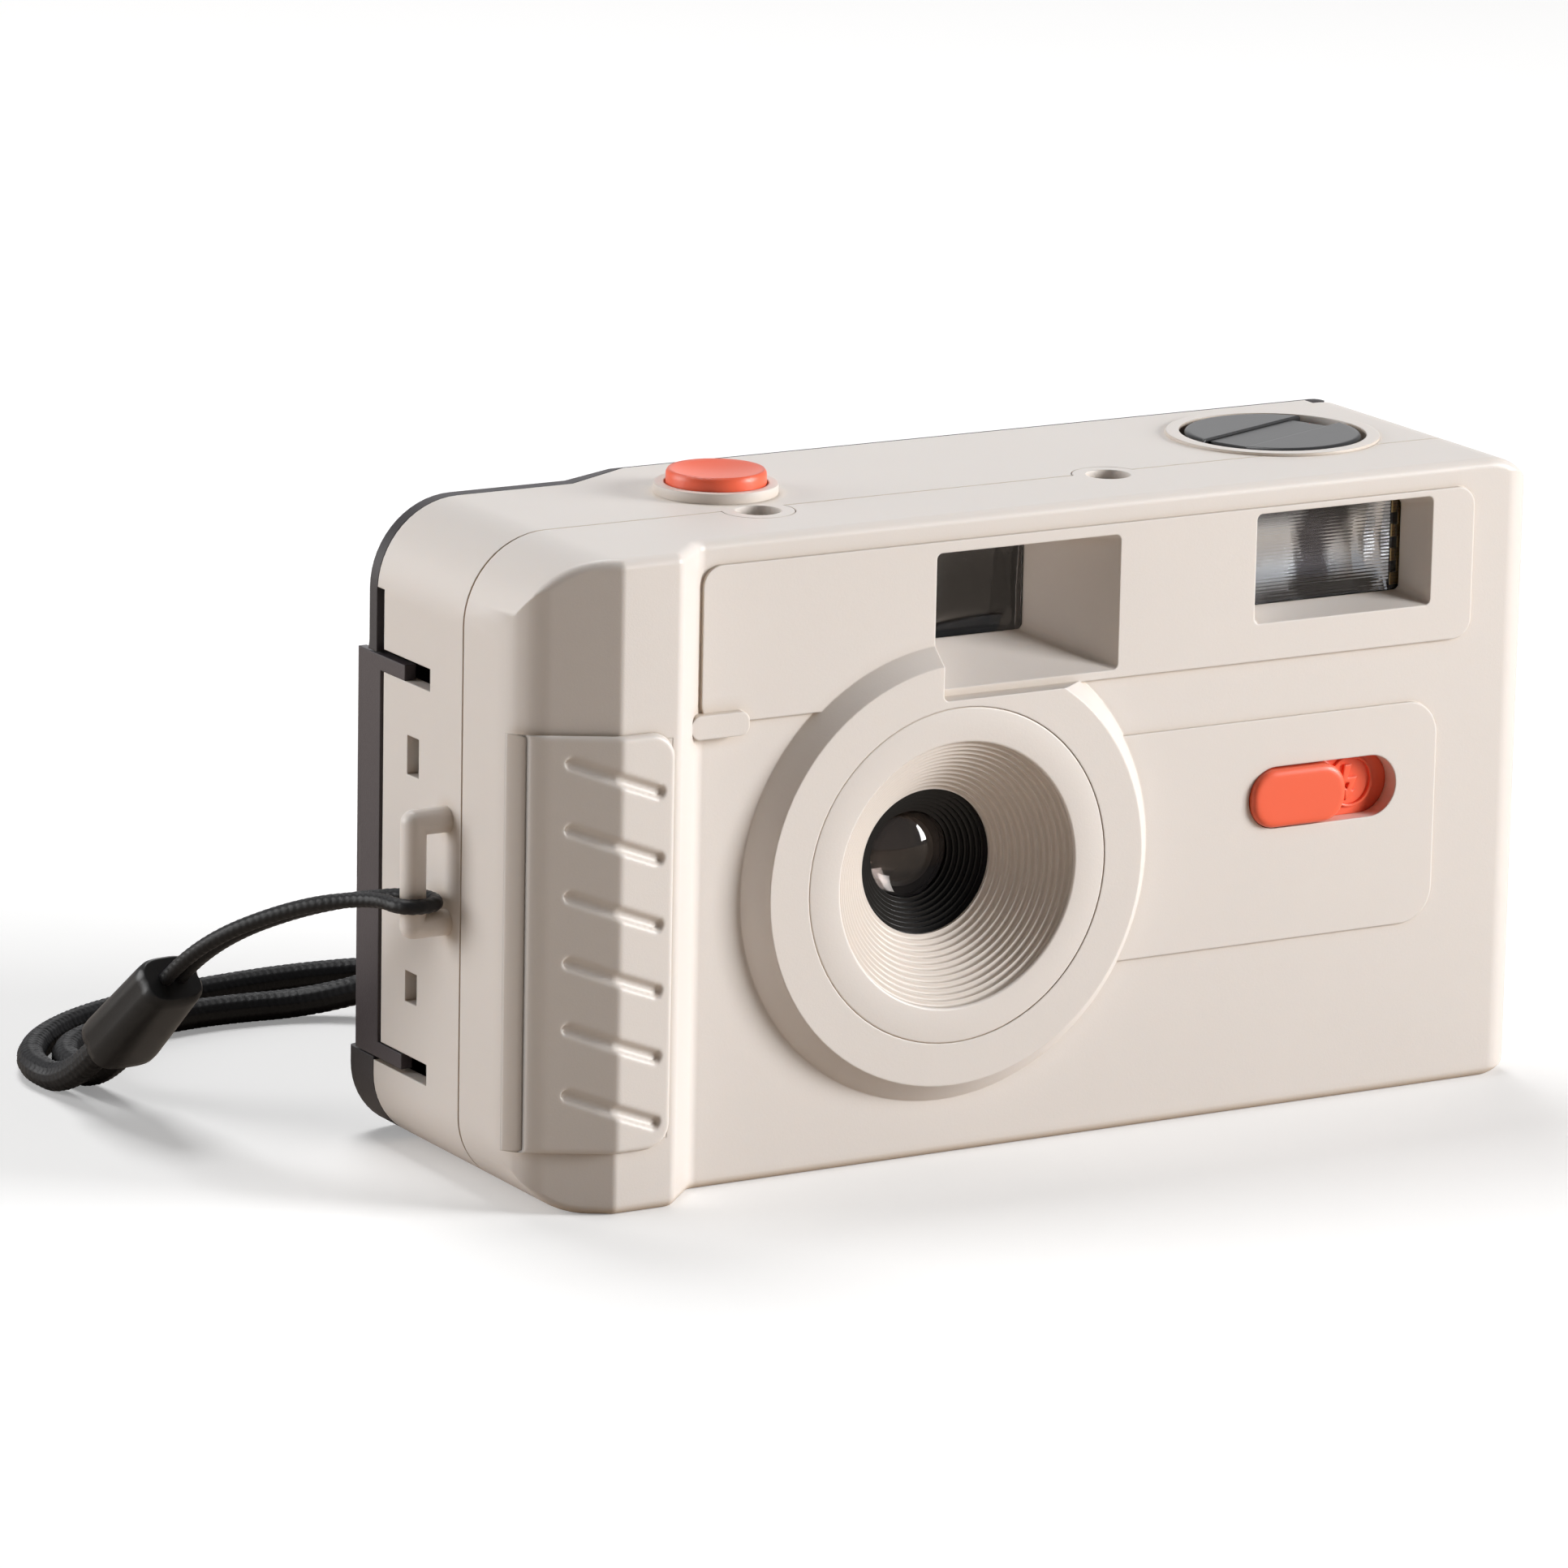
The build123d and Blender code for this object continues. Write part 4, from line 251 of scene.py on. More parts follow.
def case_finish(look, name, edge_radius):
    """Satin light grey plastic, with painted warm shade in its grooves and corners."""
    colour = tuple(look.case_colour)
    sockets = {"Subsurface Weight": 0.12, "Subsurface Radius": (1.0, 0.7, 0.5), "Subsurface Scale": 0.8 * MM}
    material, shader = plain_finish(name, colour, 0.42, sockets)
    tree = material.node_tree
    drift = add_mottle(shader, colour, shaded(colour, 0.97), 60.0, 1.0)
    # Painted shade: ambient occlusion blends the warm groove tone into the base colour in grooves and corners
    crevice_shade = add_node(tree, "ShaderNodeAmbientOcclusion", {"Distance": 1.6 * MM}, samples=6)
    depth = ranged(tree, crevice_shade.outputs["AO"], 0.95, 0.35, 0.0, 0.85)
    painted_groove_tone = blended(tree, depth, drift, (*look.groove_shade_colour, 1.0))
    tree.links.new(painted_groove_tone, shader.inputs["Base Color"])
    add_surface(shader, 5200.0, 0.012 * MM, edge_radius)
    return material


def door_finish(look, name, share, roughness):
    """Dark grey plastic with a fine even grain."""
    colour = shaded(look.door_colour, share)
    material, shader = plain_finish(name, colour, roughness)
    add_mottle(shader, colour, shaded(colour, 1.5), 2600.0, 0.8)
    add_surface(shader, 6500.0, 0.03 * MM, look.edge_radius)
    return material


def orange_finish(look, name, softness):
    """Orange-red plastic with a soft gloss."""
    colour = tuple(look.button_colour)
    sockets = {"Subsurface Weight": 0.1, "Subsurface Radius": (1.0, 0.3, 0.15), "Subsurface Scale": 0.6 * MM}
    material, shader = plain_finish(name, colour, 0.33, sockets)
    add_mottle(shader, colour, shaded(colour, 0.9), 90.0, 0.7)
    add_surface(shader, 3600.0, 0.008 * MM, look.edge_radius * softness)
    return material


def black_finish(name, shade, roughness, grain, edge_radius):
    """Black plastic, satin or matt."""
    colour = (shade, shade, shade * 1.04)
    material, shader = plain_finish(name, colour, roughness, {"Specular IOR Level": 0.35})
    add_mottle(shader, colour, shaded(colour, 1.6), 700.0, 0.7)
    add_surface(shader, 4200.0, grain, edge_radius)
    return material


def printed_finish(name, colour, roughness):
    """Smooth coloured piece, a little uneven in tone and surface."""
    material, shader = plain_finish(name, colour, roughness)
    add_mottle(shader, colour, shaded(colour, 0.88), 500.0, 1.0)
    add_surface(shader, 3000.0, 0.008 * MM, 0.0)
    return material


def clear_finish(name, colour, roughness, index, shine=0.5):
    """Clear plastic or glass, a little uneven in its polish; a low shine is a coated face."""
    sockets = {"Transmission Weight": 1.0, "IOR": index, "Specular IOR Level": shine}
    material, shader = plain_finish(name, colour, roughness, sockets)
    add_polish(shader, object_noise(material.node_tree, 400.0), roughness, 0.6, 1.4)
    return material


def metal_finish(name, colour, roughness, streaks):
    """Bare metal with fine drawn streaks."""
    material, shader = plain_finish(name, colour, roughness, {"Metallic": 1.0})
    drawn = object_noise(material.node_tree, streaks, stretch=(1.0, 1.0, 0.06))
    add_polish(shader, drawn, roughness, 0.7, 1.4)
    add_surface(shader, streaks * 2, 0.004 * MM, 0.08 * MM)
    return material


def reflector_finish():
    """Bright foil with a painted reflection of the dark tube: a cloudy dark patch right of its middle."""
    bright = (0.88, 0.88, 0.9)
    material = metal_finish("bright_reflector", bright, 0.16, 900.0)
    tree = material.node_tree
    low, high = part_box("flash_reflector")
    # Painted reflection: the base colour turns near black in a cloudy band right of the middle, where the foil
    # mirrors the dark tube
    painted_reflection_x = low.x + (high.x - low.x) * 0.6
    place = add_node(tree, "ShaderNodeTexCoord").outputs["Object"]
    across = add_node(tree, "ShaderNodeSeparateXYZ", {0: place}).outputs["X"]
    cloud = ranged(tree, object_noise(tree, 280.0, 3.0), 0.0, 1.0, -6.0 * MM, 6.0 * MM)
    distance = calculate(tree, "SUBTRACT", calculate(tree, "ADD", across, cloud), painted_reflection_x)
    painted_reflection = ranged(tree, calculate(tree, "ABSOLUTE", distance), 3.2 * MM, 1.4 * MM)
    tone = blended(tree, painted_reflection, (*bright, 1.0), (0.09, 0.085, 0.1, 1.0))
    tree.links.new(tone, tree.nodes["Principled BSDF"].inputs["Base Color"])
    return material


def cord_finish():
    """Black braided nylon: dark valleys, a little sheen on the strands."""
    material, shader = plain_finish("braided_nylon", (0.006, 0.006, 0.007), 0.45, {"Specular IOR Level": 0.3})
    add_mottle(shader, (0.003, 0.003, 0.0035), (0.014, 0.014, 0.015), 3000.0, 1.0)
    add_surface(shader, 9000.0, 0.03 * MM, 0.0)
    return material


def foam_finish():
    """Soft black foam with open pores."""
    material, shader = plain_finish("seal_foam", (0.02, 0.02, 0.02), 0.95)
    add_mottle(shader, (0.012, 0.012, 0.012), (0.05, 0.05, 0.05), 2200.0, 1.0)
    add_surface(shader, 1500.0, 0.12 * MM, 0.0)
    return material


finishes = {}


def make_finishes(look):
    """Every finish of the camera, made once."""
    edge = look.edge_radius
    finishes.update(
        case=case_finish(look, "case_plastic", edge),
        funnel=case_finish(look, "funnel_plastic", edge * 0.4),
        door=door_finish(look, "door_plastic", 1.0, 0.5),
        # Painted highlight: the latch takes the door's dark grey at twice its lightness, for the sheen it shows
        latch=door_finish(look, "latch_plastic", 2.0, 0.36),
        knob=black_finish("knob_plastic", 0.022, 0.3, 0.006 * MM, edge * 1.6),
        orange=orange_finish(look, "orange_plastic", 1.6),
        soft_orange=orange_finish(look, "soft_orange_plastic", 3.6),
        matt_black=black_finish("matt_black_plastic", 0.004, 0.3, 0.004 * MM, edge * 0.25),
        satin_black=black_finish("satin_black_plastic", 0.008, 0.24, 0.006 * MM, edge),
        ferrule=black_finish("ferrule_rubber", 0.01, 0.34, 0.01 * MM, edge),
        white=printed_finish("dial_white", (0.8, 0.8, 0.78), 0.5),
        marks=printed_finish("dial_marks", (0.02, 0.02, 0.02), 0.6),
        clear=clear_finish("clear_plastic", (0.93, 0.95, 0.96), 0.03, 1.49),
        glass=clear_finish("lens_glass", (0.55, 0.5, 0.48), 0.008, 1.5, 0.15),
        pane=clear_finish("viewfinder_pane", (0.75, 0.74, 0.74), 0.02, 1.49, 0.22),
        lamp=clear_finish("lamp_plastic", (0.85, 0.4, 0.15), 0.2, 1.49),
        reflector=reflector_finish(),
        steel=metal_finish("plain_steel", (0.55, 0.55, 0.56), 0.3, 1800.0),
        dark_steel=metal_finish("blackened_steel", (0.06, 0.06, 0.065), 0.45, 1800.0),
        gold=metal_finish("gilded_contact", (0.85, 0.6, 0.25), 0.28, 1500.0),
        board=black_finish("board_laminate", 0.1, 0.5, 0.01 * MM, 0.0),
        sleeve=black_finish("capacitor_sleeve", 0.05, 0.3, 0.01 * MM, edge),
        winding=printed_finish("winding_tape", (0.6, 0.45, 0.08), 0.4),
        cord=cord_finish(),
        foam=foam_finish(),
    )


# Meshes

# Points of a CAD mesh nearer than this are one point
merge_distance = 0.0004 * MM


def stand_on_body(piece, material, body, slot, nodes=()):
    """Gives a finished mesh its material and body, and hides the nodes that it stands for."""
    piece.data.materials.clear()
    piece.data.materials.append(material)
    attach(piece, body)
    if nodes:
        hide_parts(*nodes)
    return piece


def link_mesh(name, mesh):
    """New object for a mesh."""
    piece = bpy.data.objects.new(name, mesh)
    bpy.context.scene.collection.objects.link(piece)
    return piece


def smooth_by_angle(mesh, angle):
    """Smooth shading that breaks at edges sharper than the angle."""
    mesh.shade_smooth()
    mesh.set_sharp_from_angle(angle=math.radians(angle))


def new_piece(name, vertices, faces, angle=30.0, merge=0.0, outward=True):
    """New object from points in metres: near points merged, faces turned outward, smooth up to an angle."""
    mesh = bpy.data.meshes.new(name)
    mesh.from_pydata(vertices, [], faces)
    edit = bmesh.new()
    edit.from_mesh(mesh)
    if merge:
        bmesh.ops.remove_doubles(edit, verts=edit.verts, dist=merge)
    if outward:
        bmesh.ops.recalc_face_normals(edit, faces=edit.faces)
    edit.to_mesh(mesh)
    edit.free()
    smooth_by_angle(mesh, angle)
    return link_mesh(name, mesh)


def welded(node, finish, slot):
    """Copy of a node with its vertices merged, so that its curved faces shade smoothly."""
    source = frame["nodes"][node].data
    places = [vertex.co[:] for vertex in source.vertices]
    faces = [face.vertices[:] for face in source.polygons]
    piece = new_piece(node + "_finished", places, faces, merge=merge_distance, outward=False)
    # Normals led by the large faces keep flat fields flat beside their roundings
    weigh = piece.modifiers.new("flat_fields", "WEIGHTED_NORMAL")
    weigh.mode = "FACE_AREA"
    weigh.weight = 50
    weigh.thresh = 0.01
    weigh.keep_sharp = True
    return stand_on_body(plain_mesh(piece), finishes[finish], BODY_OF[node], slot, (node,))


def weld_all(*rows):
    """Welded copies for rows of a finish, a slot and the nodes that share them."""
    for finish, slot, *nodes in rows:
        for node in nodes:
            welded(node, finish, slot)


def plain_mesh(piece):
    """The evaluated shape as a plain mesh on the same object, with no modifier left."""
    graph = bpy.context.evaluated_depsgraph_get()
    mesh = bpy.data.meshes.new_from_object(piece.evaluated_get(graph))
    piece.modifiers.clear()
    piece.data = mesh
    return piece


def grid_faces(rows, columns, start=0, closed=False):
    """Faces between rows of points; a closed grid joins the last point of a row to its first."""
    faces = []
    for row in range(rows - 1):
        for column in range(columns if closed else columns - 1):
            follow = (column + 1) % columns
            one = start + row * columns
            faces.append((one + column, one + follow, one + columns + follow, one + columns + column))
    return faces


def extruded_outline(name, outline, y_front, y_back):
    """Flat plate in the front view: its outline in X and Z, between two depths in metres."""
    count = len(outline)
    vertices = [(x, y, z) for y in (y_front, y_back) for x, z in outline]
    faces = [tuple(range(count)), tuple(reversed(range(count, 2 * count)))]
    for index in range(count):
        follow = (index + 1) % count
        faces.append((index, count + index, count + follow, follow))
    return new_piece(name, vertices, faces)


def mesh_piece(name, vertices, faces, angle=30.0):
    """New object from points in millimetres and faces."""
    places = [tuple(value * MM for value in vertex) for vertex in vertices]
    return new_piece(name, places, faces, angle, merge_distance)


def turned(name, profile, x, z, turns, angle=30.0):
    """Piece of revolution about the line from front to back; the profile gives radius and depth."""
    vertices = []
    for radius, y in profile:
        for turn in range(turns):
            place = 2 * math.pi * turn / turns
            vertices.append((x + radius * math.cos(place), y, z + radius * math.sin(place)))
    return mesh_piece(name, vertices, grid_faces(len(profile), turns, closed=True), angle)


def rounded_corners(corners, radii, steps=16):
    """Line through the corners whose inner corners are rounded by arcs."""
    line = [np.array(corners[0])]
    for before, corner, after, radius in zip(corners, corners[1:], corners[2:], radii):
        corner = np.array(corner)
        inward = (np.array(before) - corner) / np.linalg.norm(np.array(before) - corner)
        outward = (np.array(after) - corner) / np.linalg.norm(np.array(after) - corner)
        half = math.acos(float(inward @ outward)) / 2
        reach = radius / math.tan(half)
        middle_way = (inward + outward) / np.linalg.norm(inward + outward)
        centre = corner + middle_way * radius / math.sin(half)
        first = corner + inward * reach - centre
        last = corner + outward * reach - centre
        angle = math.pi - 2 * half
        for step in range(steps + 1):
            share = step / steps
            way = math.sin((1 - share) * angle) * first + math.sin(share * angle) * last
            line.append(centre + way / math.sin(angle))
    line.append(np.array(corners[-1]))
    return np.array(line)


def soft_step(value):
    """Rises smoothly from 0 to 1 as the value does."""
    value = min(max(value, 0.0), 1.0)
    return value * value * (3 - 2 * value)


# Node trees for what repeats or follows a rule


class NodeTree:
    """Small builder for a geometry node tree with named inputs, whose shape stands at each given point."""

    def __init__(self, name, *inputs):
        self.group = bpy.data.node_groups.new(name, "GeometryNodeTree")
        sockets = self.group.interface
        sockets.new_socket("Geometry", in_out="OUTPUT", socket_type="NodeSocketGeometry")
        sockets.new_socket("Geometry", in_out="INPUT", socket_type="NodeSocketGeometry")
        self.identifiers = {}
        for label, kind in (*inputs, ("Material", "Material")):
            socket = sockets.new_socket(label, in_out="INPUT", socket_type="NodeSocket" + kind)
            self.identifiers[label] = socket.identifier
        self.source = self.group.nodes.new("NodeGroupInput")
        self.target = self.group.nodes.new("NodeGroupOutput")
        self.inputs = [self.source.outputs[label] for label, kind in inputs]

    def node(self, kind, values=(), **settings):
        """Adds a node to the tree."""
        return add_node(self.group, kind, values, **settings)

    def work(self, operation, one, other=0.0):
        """Adds a math node and gives its result."""
        return calculate(self.group, operation, one, other)

    def place(self):
        """Outputs of each point's own place, split in three."""
        return self.node("ShaderNodeSeparateXYZ", {0: self.node("GeometryNodeInputPosition").outputs[0]}).outputs

    def finish(self, shape):
        """Stands the shape at each point, realizes it, gives it the material and sends it out."""
        values = {"Points": self.source.outputs["Geometry"], "Instance": shape}
        placed = self.node("GeometryNodeInstanceOnPoints", values)
        real = self.node("GeometryNodeRealizeInstances", {"Geometry": placed.outputs[0]})
        values = {"Geometry": real.outputs[0], "Material": self.source.outputs["Material"]}
        painted = self.node("GeometryNodeSetMaterial", values)
        self.group.links.new(painted.outputs[0], self.target.inputs[0])
        return self

    def apply(self, name, point_list, material, values):
        """Runs the tree on a mesh of points and gives a plain mesh object."""
        mesh = bpy.data.meshes.new(name)
        mesh.from_pydata([tuple(point) for point in point_list], [], [])
        piece = link_mesh(name, mesh)
        modifier = piece.modifiers.new(name, "NODES")
        modifier.node_group = self.group
        for key, value in {**values, "Material": material}.items():
            modifier[self.identifiers[key]] = value
        return plain_mesh(piece)


def screw_tree():
    """Cross-recessed screws, one at each point."""
    tree = NodeTree(
        "cross_recessed_screws", ("Head Radius", "Float"), ("Head Height", "Float"),
        ("Shank Radius", "Float"), ("Shank Length", "Float"), ("Slot Size", "Vector"),
    )
    head_radius, head_height, shank_radius, shank_length, slot_size = tree.inputs
    head = tree.node("GeometryNodeMeshCylinder", {"Vertices": 48, "Radius": head_radius, "Depth": head_height})
    bar = tree.node("GeometryNodeMeshCube", {"Size": slot_size}).outputs["Mesh"]
    lift = tree.node("ShaderNodeCombineXYZ", {"Z": tree.work("MULTIPLY", head_height, 0.5)}).outputs[0]
    cross = tree.node("GeometryNodeMeshBoolean", {0: head.outputs["Mesh"]}, operation="DIFFERENCE", solver="EXACT")
    for turn in (45.0, 135.0):
        values = {"Geometry": bar, "Translation": lift, "Rotation": (0.0, 0.0, math.radians(turn))}
        slot = tree.node("GeometryNodeTransform", values)
        tree.group.links.new(slot.outputs[0], cross.inputs[1])
    shank = tree.node("GeometryNodeMeshCylinder", {"Vertices": 24, "Radius": shank_radius, "Depth": shank_length})
    below = tree.work("MULTIPLY", tree.work("ADD", head_height, shank_length), -0.499)
    sink = tree.node("ShaderNodeCombineXYZ", {"Z": below}).outputs[0]
    lowered = tree.node("GeometryNodeTransform", {"Geometry": shank.outputs["Mesh"], "Translation": sink})
    screw = tree.node("GeometryNodeJoinGeometry")
    for member in (cross, lowered):
        tree.group.links.new(member.outputs[0], screw.inputs[0])
    return tree.finish(screw.outputs[0])


def ribbed_pane_tree():
    """Clear pane in the front view whose inner face has level ribs, standing at one point."""
    tree = NodeTree("ribbed_pane", ("Size", "Vector"), ("Ribs", "Int"), ("Rib Depth", "Float"))
    size, ribs, depth = tree.inputs
    values = {"Size": size, "Vertices X": 3, "Vertices Y": 2, "Vertices Z": tree.work("MULTIPLY", ribs, 8.0)}
    block = tree.node("GeometryNodeMeshCube", values)
    place = tree.place()
    inner = tree.node("FunctionNodeCompare", {"A": place["Y"], "B": 0.0}, operation="GREATER_THAN")
    height = tree.node("ShaderNodeSeparateXYZ", {0: size}).outputs["Z"]
    turns = tree.work("MULTIPLY", tree.work("DIVIDE", place["Z"], height), ribs)
    wave = tree.work("COSINE", tree.work("MULTIPLY", turns, 2 * math.pi))
    shift = tree.node("ShaderNodeCombineXYZ", {"Y": tree.work("MULTIPLY", wave, depth)})
    values = {"Geometry": block.outputs["Mesh"], "Selection": inner.outputs[0], "Offset": shift.outputs[0]}
    return tree.finish(tree.node("GeometryNodeSetPosition", values).outputs[0])


def dial_mark_tree():
    """Short upright marks round a drum, around each point."""
    tree = NodeTree("dial_marks", ("Count", "Int"), ("Radius", "Float"), ("Mark Size", "Vector"))
    count, radius, size = tree.inputs
    ring = tree.node("GeometryNodeMeshCircle", {"Vertices": count, "Radius": radius})
    place = tree.node("GeometryNodeInputPosition")
    facing = tree.node("FunctionNodeAlignRotationToVector", {"Vector": place.outputs[0]}, axis="X")
    mark = tree.node("GeometryNodeMeshCube", {"Size": size})
    values = {"Points": ring.outputs["Mesh"], "Instance": mark.outputs["Mesh"], "Rotation": facing.outputs[0]}
    return tree.finish(tree.node("GeometryNodeInstanceOnPoints", values).outputs[0])


def stepped_cone_tree():
    """Hollow cone about the line from front to back that narrows in soft steps, at one point."""
    tree = NodeTree(
        "stepped_cone", ("Steps", "Int"), ("Rim Radius", "Float"), ("Mouth Radius", "Float"),
        ("Depth", "Float"), ("Softness", "Float"),
    )
    steps, rim, mouth, depth, softness = tree.inputs
    work = tree.work
    rows = work("ADD", work("MULTIPLY", steps, 12.0), 1.0)
    values = {"Size X": 1.0, "Size Y": 1.0, "Vertices X": 193, "Vertices Y": rows}
    block = tree.node("GeometryNodeMeshGrid", values)
    place = tree.place()
    # Just under one, so that the last row still counts to the last step
    along = work("MULTIPLY", work("ADD", place["Y"], 0.5), work("MULTIPLY", steps, 0.99999))
    whole = work("FLOOR", along)
    part = work("SUBTRACT", along, whole)

    def climbed(low, high):
        rise = ranged(tree.group, part, low, high, interpolation_type="SMOOTHSTEP")
        return work("DIVIDE", work("ADD", whole, rise), steps)

    sunk = climbed(0.0, work("ADD", 0.5, softness))
    drawn = climbed(work("SUBTRACT", 0.5, softness), 1.0)
    radius = work("ADD", rim, work("MULTIPLY", work("SUBTRACT", mouth, rim), drawn))
    angle = work("MULTIPLY", place["X"], 2 * math.pi)
    values = {
        "X": work("MULTIPLY", radius, work("COSINE", angle)),
        "Y": work("MULTIPLY", depth, sunk),
        "Z": work("MULTIPLY", radius, work("SINE", angle)),
    }
    shaped = tree.node("ShaderNodeCombineXYZ", values).outputs[0]
    cone = tree.node("GeometryNodeSetPosition", {"Geometry": block.outputs["Mesh"], "Position": shaped})
    values = {"Geometry": cone.outputs[0], "Distance": 0.001 * MM}
    return tree.finish(tree.node("GeometryNodeMergeByDistance", values).outputs[0])


# Case

# Lens surround, in millimetres: the flat rim, and the mouth at the end of the stepped cone
funnel_y = front_y - 1.9
funnel_mouth_y = funnel_y + 6.3
funnel_mouth_radius = 7.15
funnel_cone_radius = 13.0
funnel_outer_radius = 16.49

# Battery panel, in millimetres
panel_low, panel_high = 6.2, 46.4
panel_right_x = left_x + 14.2
panel_proud = 0.75
panel_skin = 0.63
panel_corner = 2.6
panel_edge = 0.5
panel_columns, panel_rows = 96, 160
facet_width, facet_depth = 8.7, 4.9
side_radius, facet_radius = 6.0, 1.2
groove_count = 6
groove_pitch = 6.38
groove_slant = math.radians(21.0)
groove_half_length = 4.25
groove_half_width = 0.6
groove_depth = 0.5
groove_deepest = 0.6
groove_middle_x = left_x + 8.45
groove_top_middle_z = panel_high - 4.12
# The lip of a groove begins this far outside its edge and falls over this width
groove_lip, groove_fall = 0.12, 0.42
opening_radius = 3.0


class FILMCAMERA_OT_case(bpy.types.Operator):
    """Front and rear cover, stepped lens surround and battery door."""

    bl_idname = "filmcamera.case"
    bl_label = "Case"

    def execute(self, context):
        weld_all(("case", "shell", "front_cover", "rear_cover"))
        self.lens_funnel()
        self.battery_panel()
        self.opening_corners()
        return {"FINISHED"}

    def lens_funnel(self):
        """Stepped cone in front of the lens, with its flat rim and the sleeve that seats it."""
        centre = middle("lens_funnel") / MM
        cone_y = funnel_y + 0.2
        values = {
            "Steps": 12,
            "Rim Radius": funnel_cone_radius * MM,
            "Mouth Radius": funnel_mouth_radius * MM,
            "Depth": 5.75 * MM,
            "Softness": 0.12,
        }
        place = Vector((centre.x, cone_y, centre.z)) * MM
        cone = stepped_cone_tree().apply("stepped_cone", (place,), finishes["funnel"], values)
        smooth_by_angle(cone.data, 75)
        stand_on_body(cone, finishes["funnel"], "camera", "shell", ("lens_funnel",))
        profile = [(funnel_cone_radius, cone_y)]
        profile += self.quarter_round(funnel_cone_radius + 0.3, funnel_y + 0.25, 0.3, 180, 90)
        profile += self.quarter_round(funnel_outer_radius - 0.22, funnel_y + 0.22, 0.22, 90, 0)
        profile += [
            (funnel_outer_radius, front_y + 3.5), (15.0, front_y + 3.5),
            (funnel_mouth_radius + 0.05, funnel_mouth_y + 0.1), (funnel_mouth_radius, funnel_mouth_y - 0.35),
        ]
        rim = turned("funnel_rim", profile, centre.x, centre.z, 160)
        stand_on_body(rim, finishes["funnel"], "camera", "shell")

    def quarter_round(self, radius, y, size, first, last):
        """Points of a rounded edge of the funnel's rim, between two angles in degrees."""
        corners = []
        for step in range(6):
            angle = math.radians(first + (last - first) * step / 5)
            corners.append((radius + size * math.cos(angle), y - size * math.sin(angle)))
        return corners

    def battery_panel(self):
        """Proud panel round the grip, with rounded edges and slanting soft grooves."""
        lean = math.atan2(facet_depth, facet_width)
        side_y = grip_y + facet_depth - panel_proud * (1 / math.cos(lean) - math.tan(lean))
        corners = (
            (left_x - panel_proud, side_y + 6.0),
            (left_x - panel_proud, side_y),
            (left_x + facet_width - panel_proud * math.tan(lean / 2), grip_y - panel_proud),
            (left_x + 15.0, grip_y - panel_proud),
        )
        plan = rounded_corners(corners, (side_radius + panel_proud, facet_radius))
        run = np.concatenate(([0.0], np.cumsum(np.linalg.norm(np.diff(plan, axis=0), axis=1))))
        seen = plan[:, 0] > left_x - 0.7
        start, end = (np.interp(x, plan[seen, 0], run[seen]) for x in (left_x, panel_right_x))
        places = np.linspace(start, end, panel_columns)
        across = np.interp(places, run, plan[:, 0])
        forward = np.interp(places, run, plan[:, 1])
        way = np.stack([np.gradient(across), np.gradient(forward)], axis=1)
        way /= np.linalg.norm(way, axis=1)[:, None]
        outer, inner = [], []
        for place, x, y, (way_x, way_y) in zip(places, across, forward, way):
            over = min(max(x - (panel_right_x - panel_corner), 0.0), panel_corner)
            trim = panel_corner - math.sqrt(panel_corner**2 - over**2)
            height = panel_high - panel_low - 2 * trim
            for row in range(panel_rows):
                z = panel_low + trim + height * row / (panel_rows - 1)
                sink = self.panel_sink(x, z, place - start)
                outer.append((x + way_y * sink, y + way_x * sink, z))
                inner.append((x + way_y * panel_skin, y + way_x * panel_skin, z))
        count = len(outer)
        faces = grid_faces(panel_columns, panel_rows) + grid_faces(panel_columns, panel_rows, count)
        ring = [column * panel_rows for column in range(panel_columns)]
        ring += range(ring[-1] + 1, count)
        ring += [column * panel_rows + panel_rows - 1 for column in reversed(range(panel_columns - 1))]
        ring += reversed(range(1, panel_rows - 1))
        for one, other in zip(ring, ring[1:] + ring[:1]):
            faces.append((one, other, count + other, count + one))
        panel = mesh_piece("battery_panel", outer + inner, faces, 50)
        stand_on_body(panel, finishes["case"], "battery_door", "shell", ("battery_door",))

    def panel_sink(self, x, z, from_left):
        """How far the panel's face lies below its highest level: grooves, and the rounding of its edges."""
        sink = 0.0
        for groove in range(groove_count):
            right = x - groove_middle_x
            up = z - (groove_top_middle_z - groove_pitch * groove)
            along = right * math.cos(groove_slant) - up * math.sin(groove_slant)
            aside = right * math.sin(groove_slant) + up * math.cos(groove_slant)
            distance = math.hypot(max(abs(along) - groove_half_length, 0.0), aside) - groove_half_width
            sink = max(sink, groove_depth * soft_step((groove_lip - distance) / groove_fall))
        edge = min(z - panel_low, panel_high - z, panel_right_x - x, from_left)
        for corner_z, up in ((panel_low + panel_corner, -1), (panel_high - panel_corner, 1)):
            right = x - (panel_right_x - panel_corner)
            beyond = (z - corner_z) * up
            if right > 0 and beyond > 0:
                edge = min(edge, panel_corner - math.hypot(right, beyond))
        edge = max(edge, 0.0)
        if edge < panel_edge:
            sink += panel_edge - math.sqrt(panel_edge**2 - (panel_edge - edge) ** 2)
        return min(sink, groove_deepest)

    def opening_corners(self):
        """Rounded inner corners of the opening behind the battery panel."""
        x = panel_right_x - 0.05
        for name, z, up in (("opening_corner_top", 45.6, 1), ("opening_corner_bottom", 7.0, -1)):
            outline = [(x + 0.3, z + 0.3 * up)]
            for step in range(9):
                angle = math.pi / 2 * step / 8
                across = opening_radius * math.cos(angle) - opening_radius
                height = opening_radius - opening_radius * math.sin(angle)
                outline.append((x + across, z - up * height))
            outline = [(across * MM, height * MM) for across, height in outline]
            corner = extruded_outline(name, outline, (grip_y + 0.02) * MM, (grip_y + 1.2) * MM)
            stand_on_body(corner, finishes["case"], "camera", "shell")


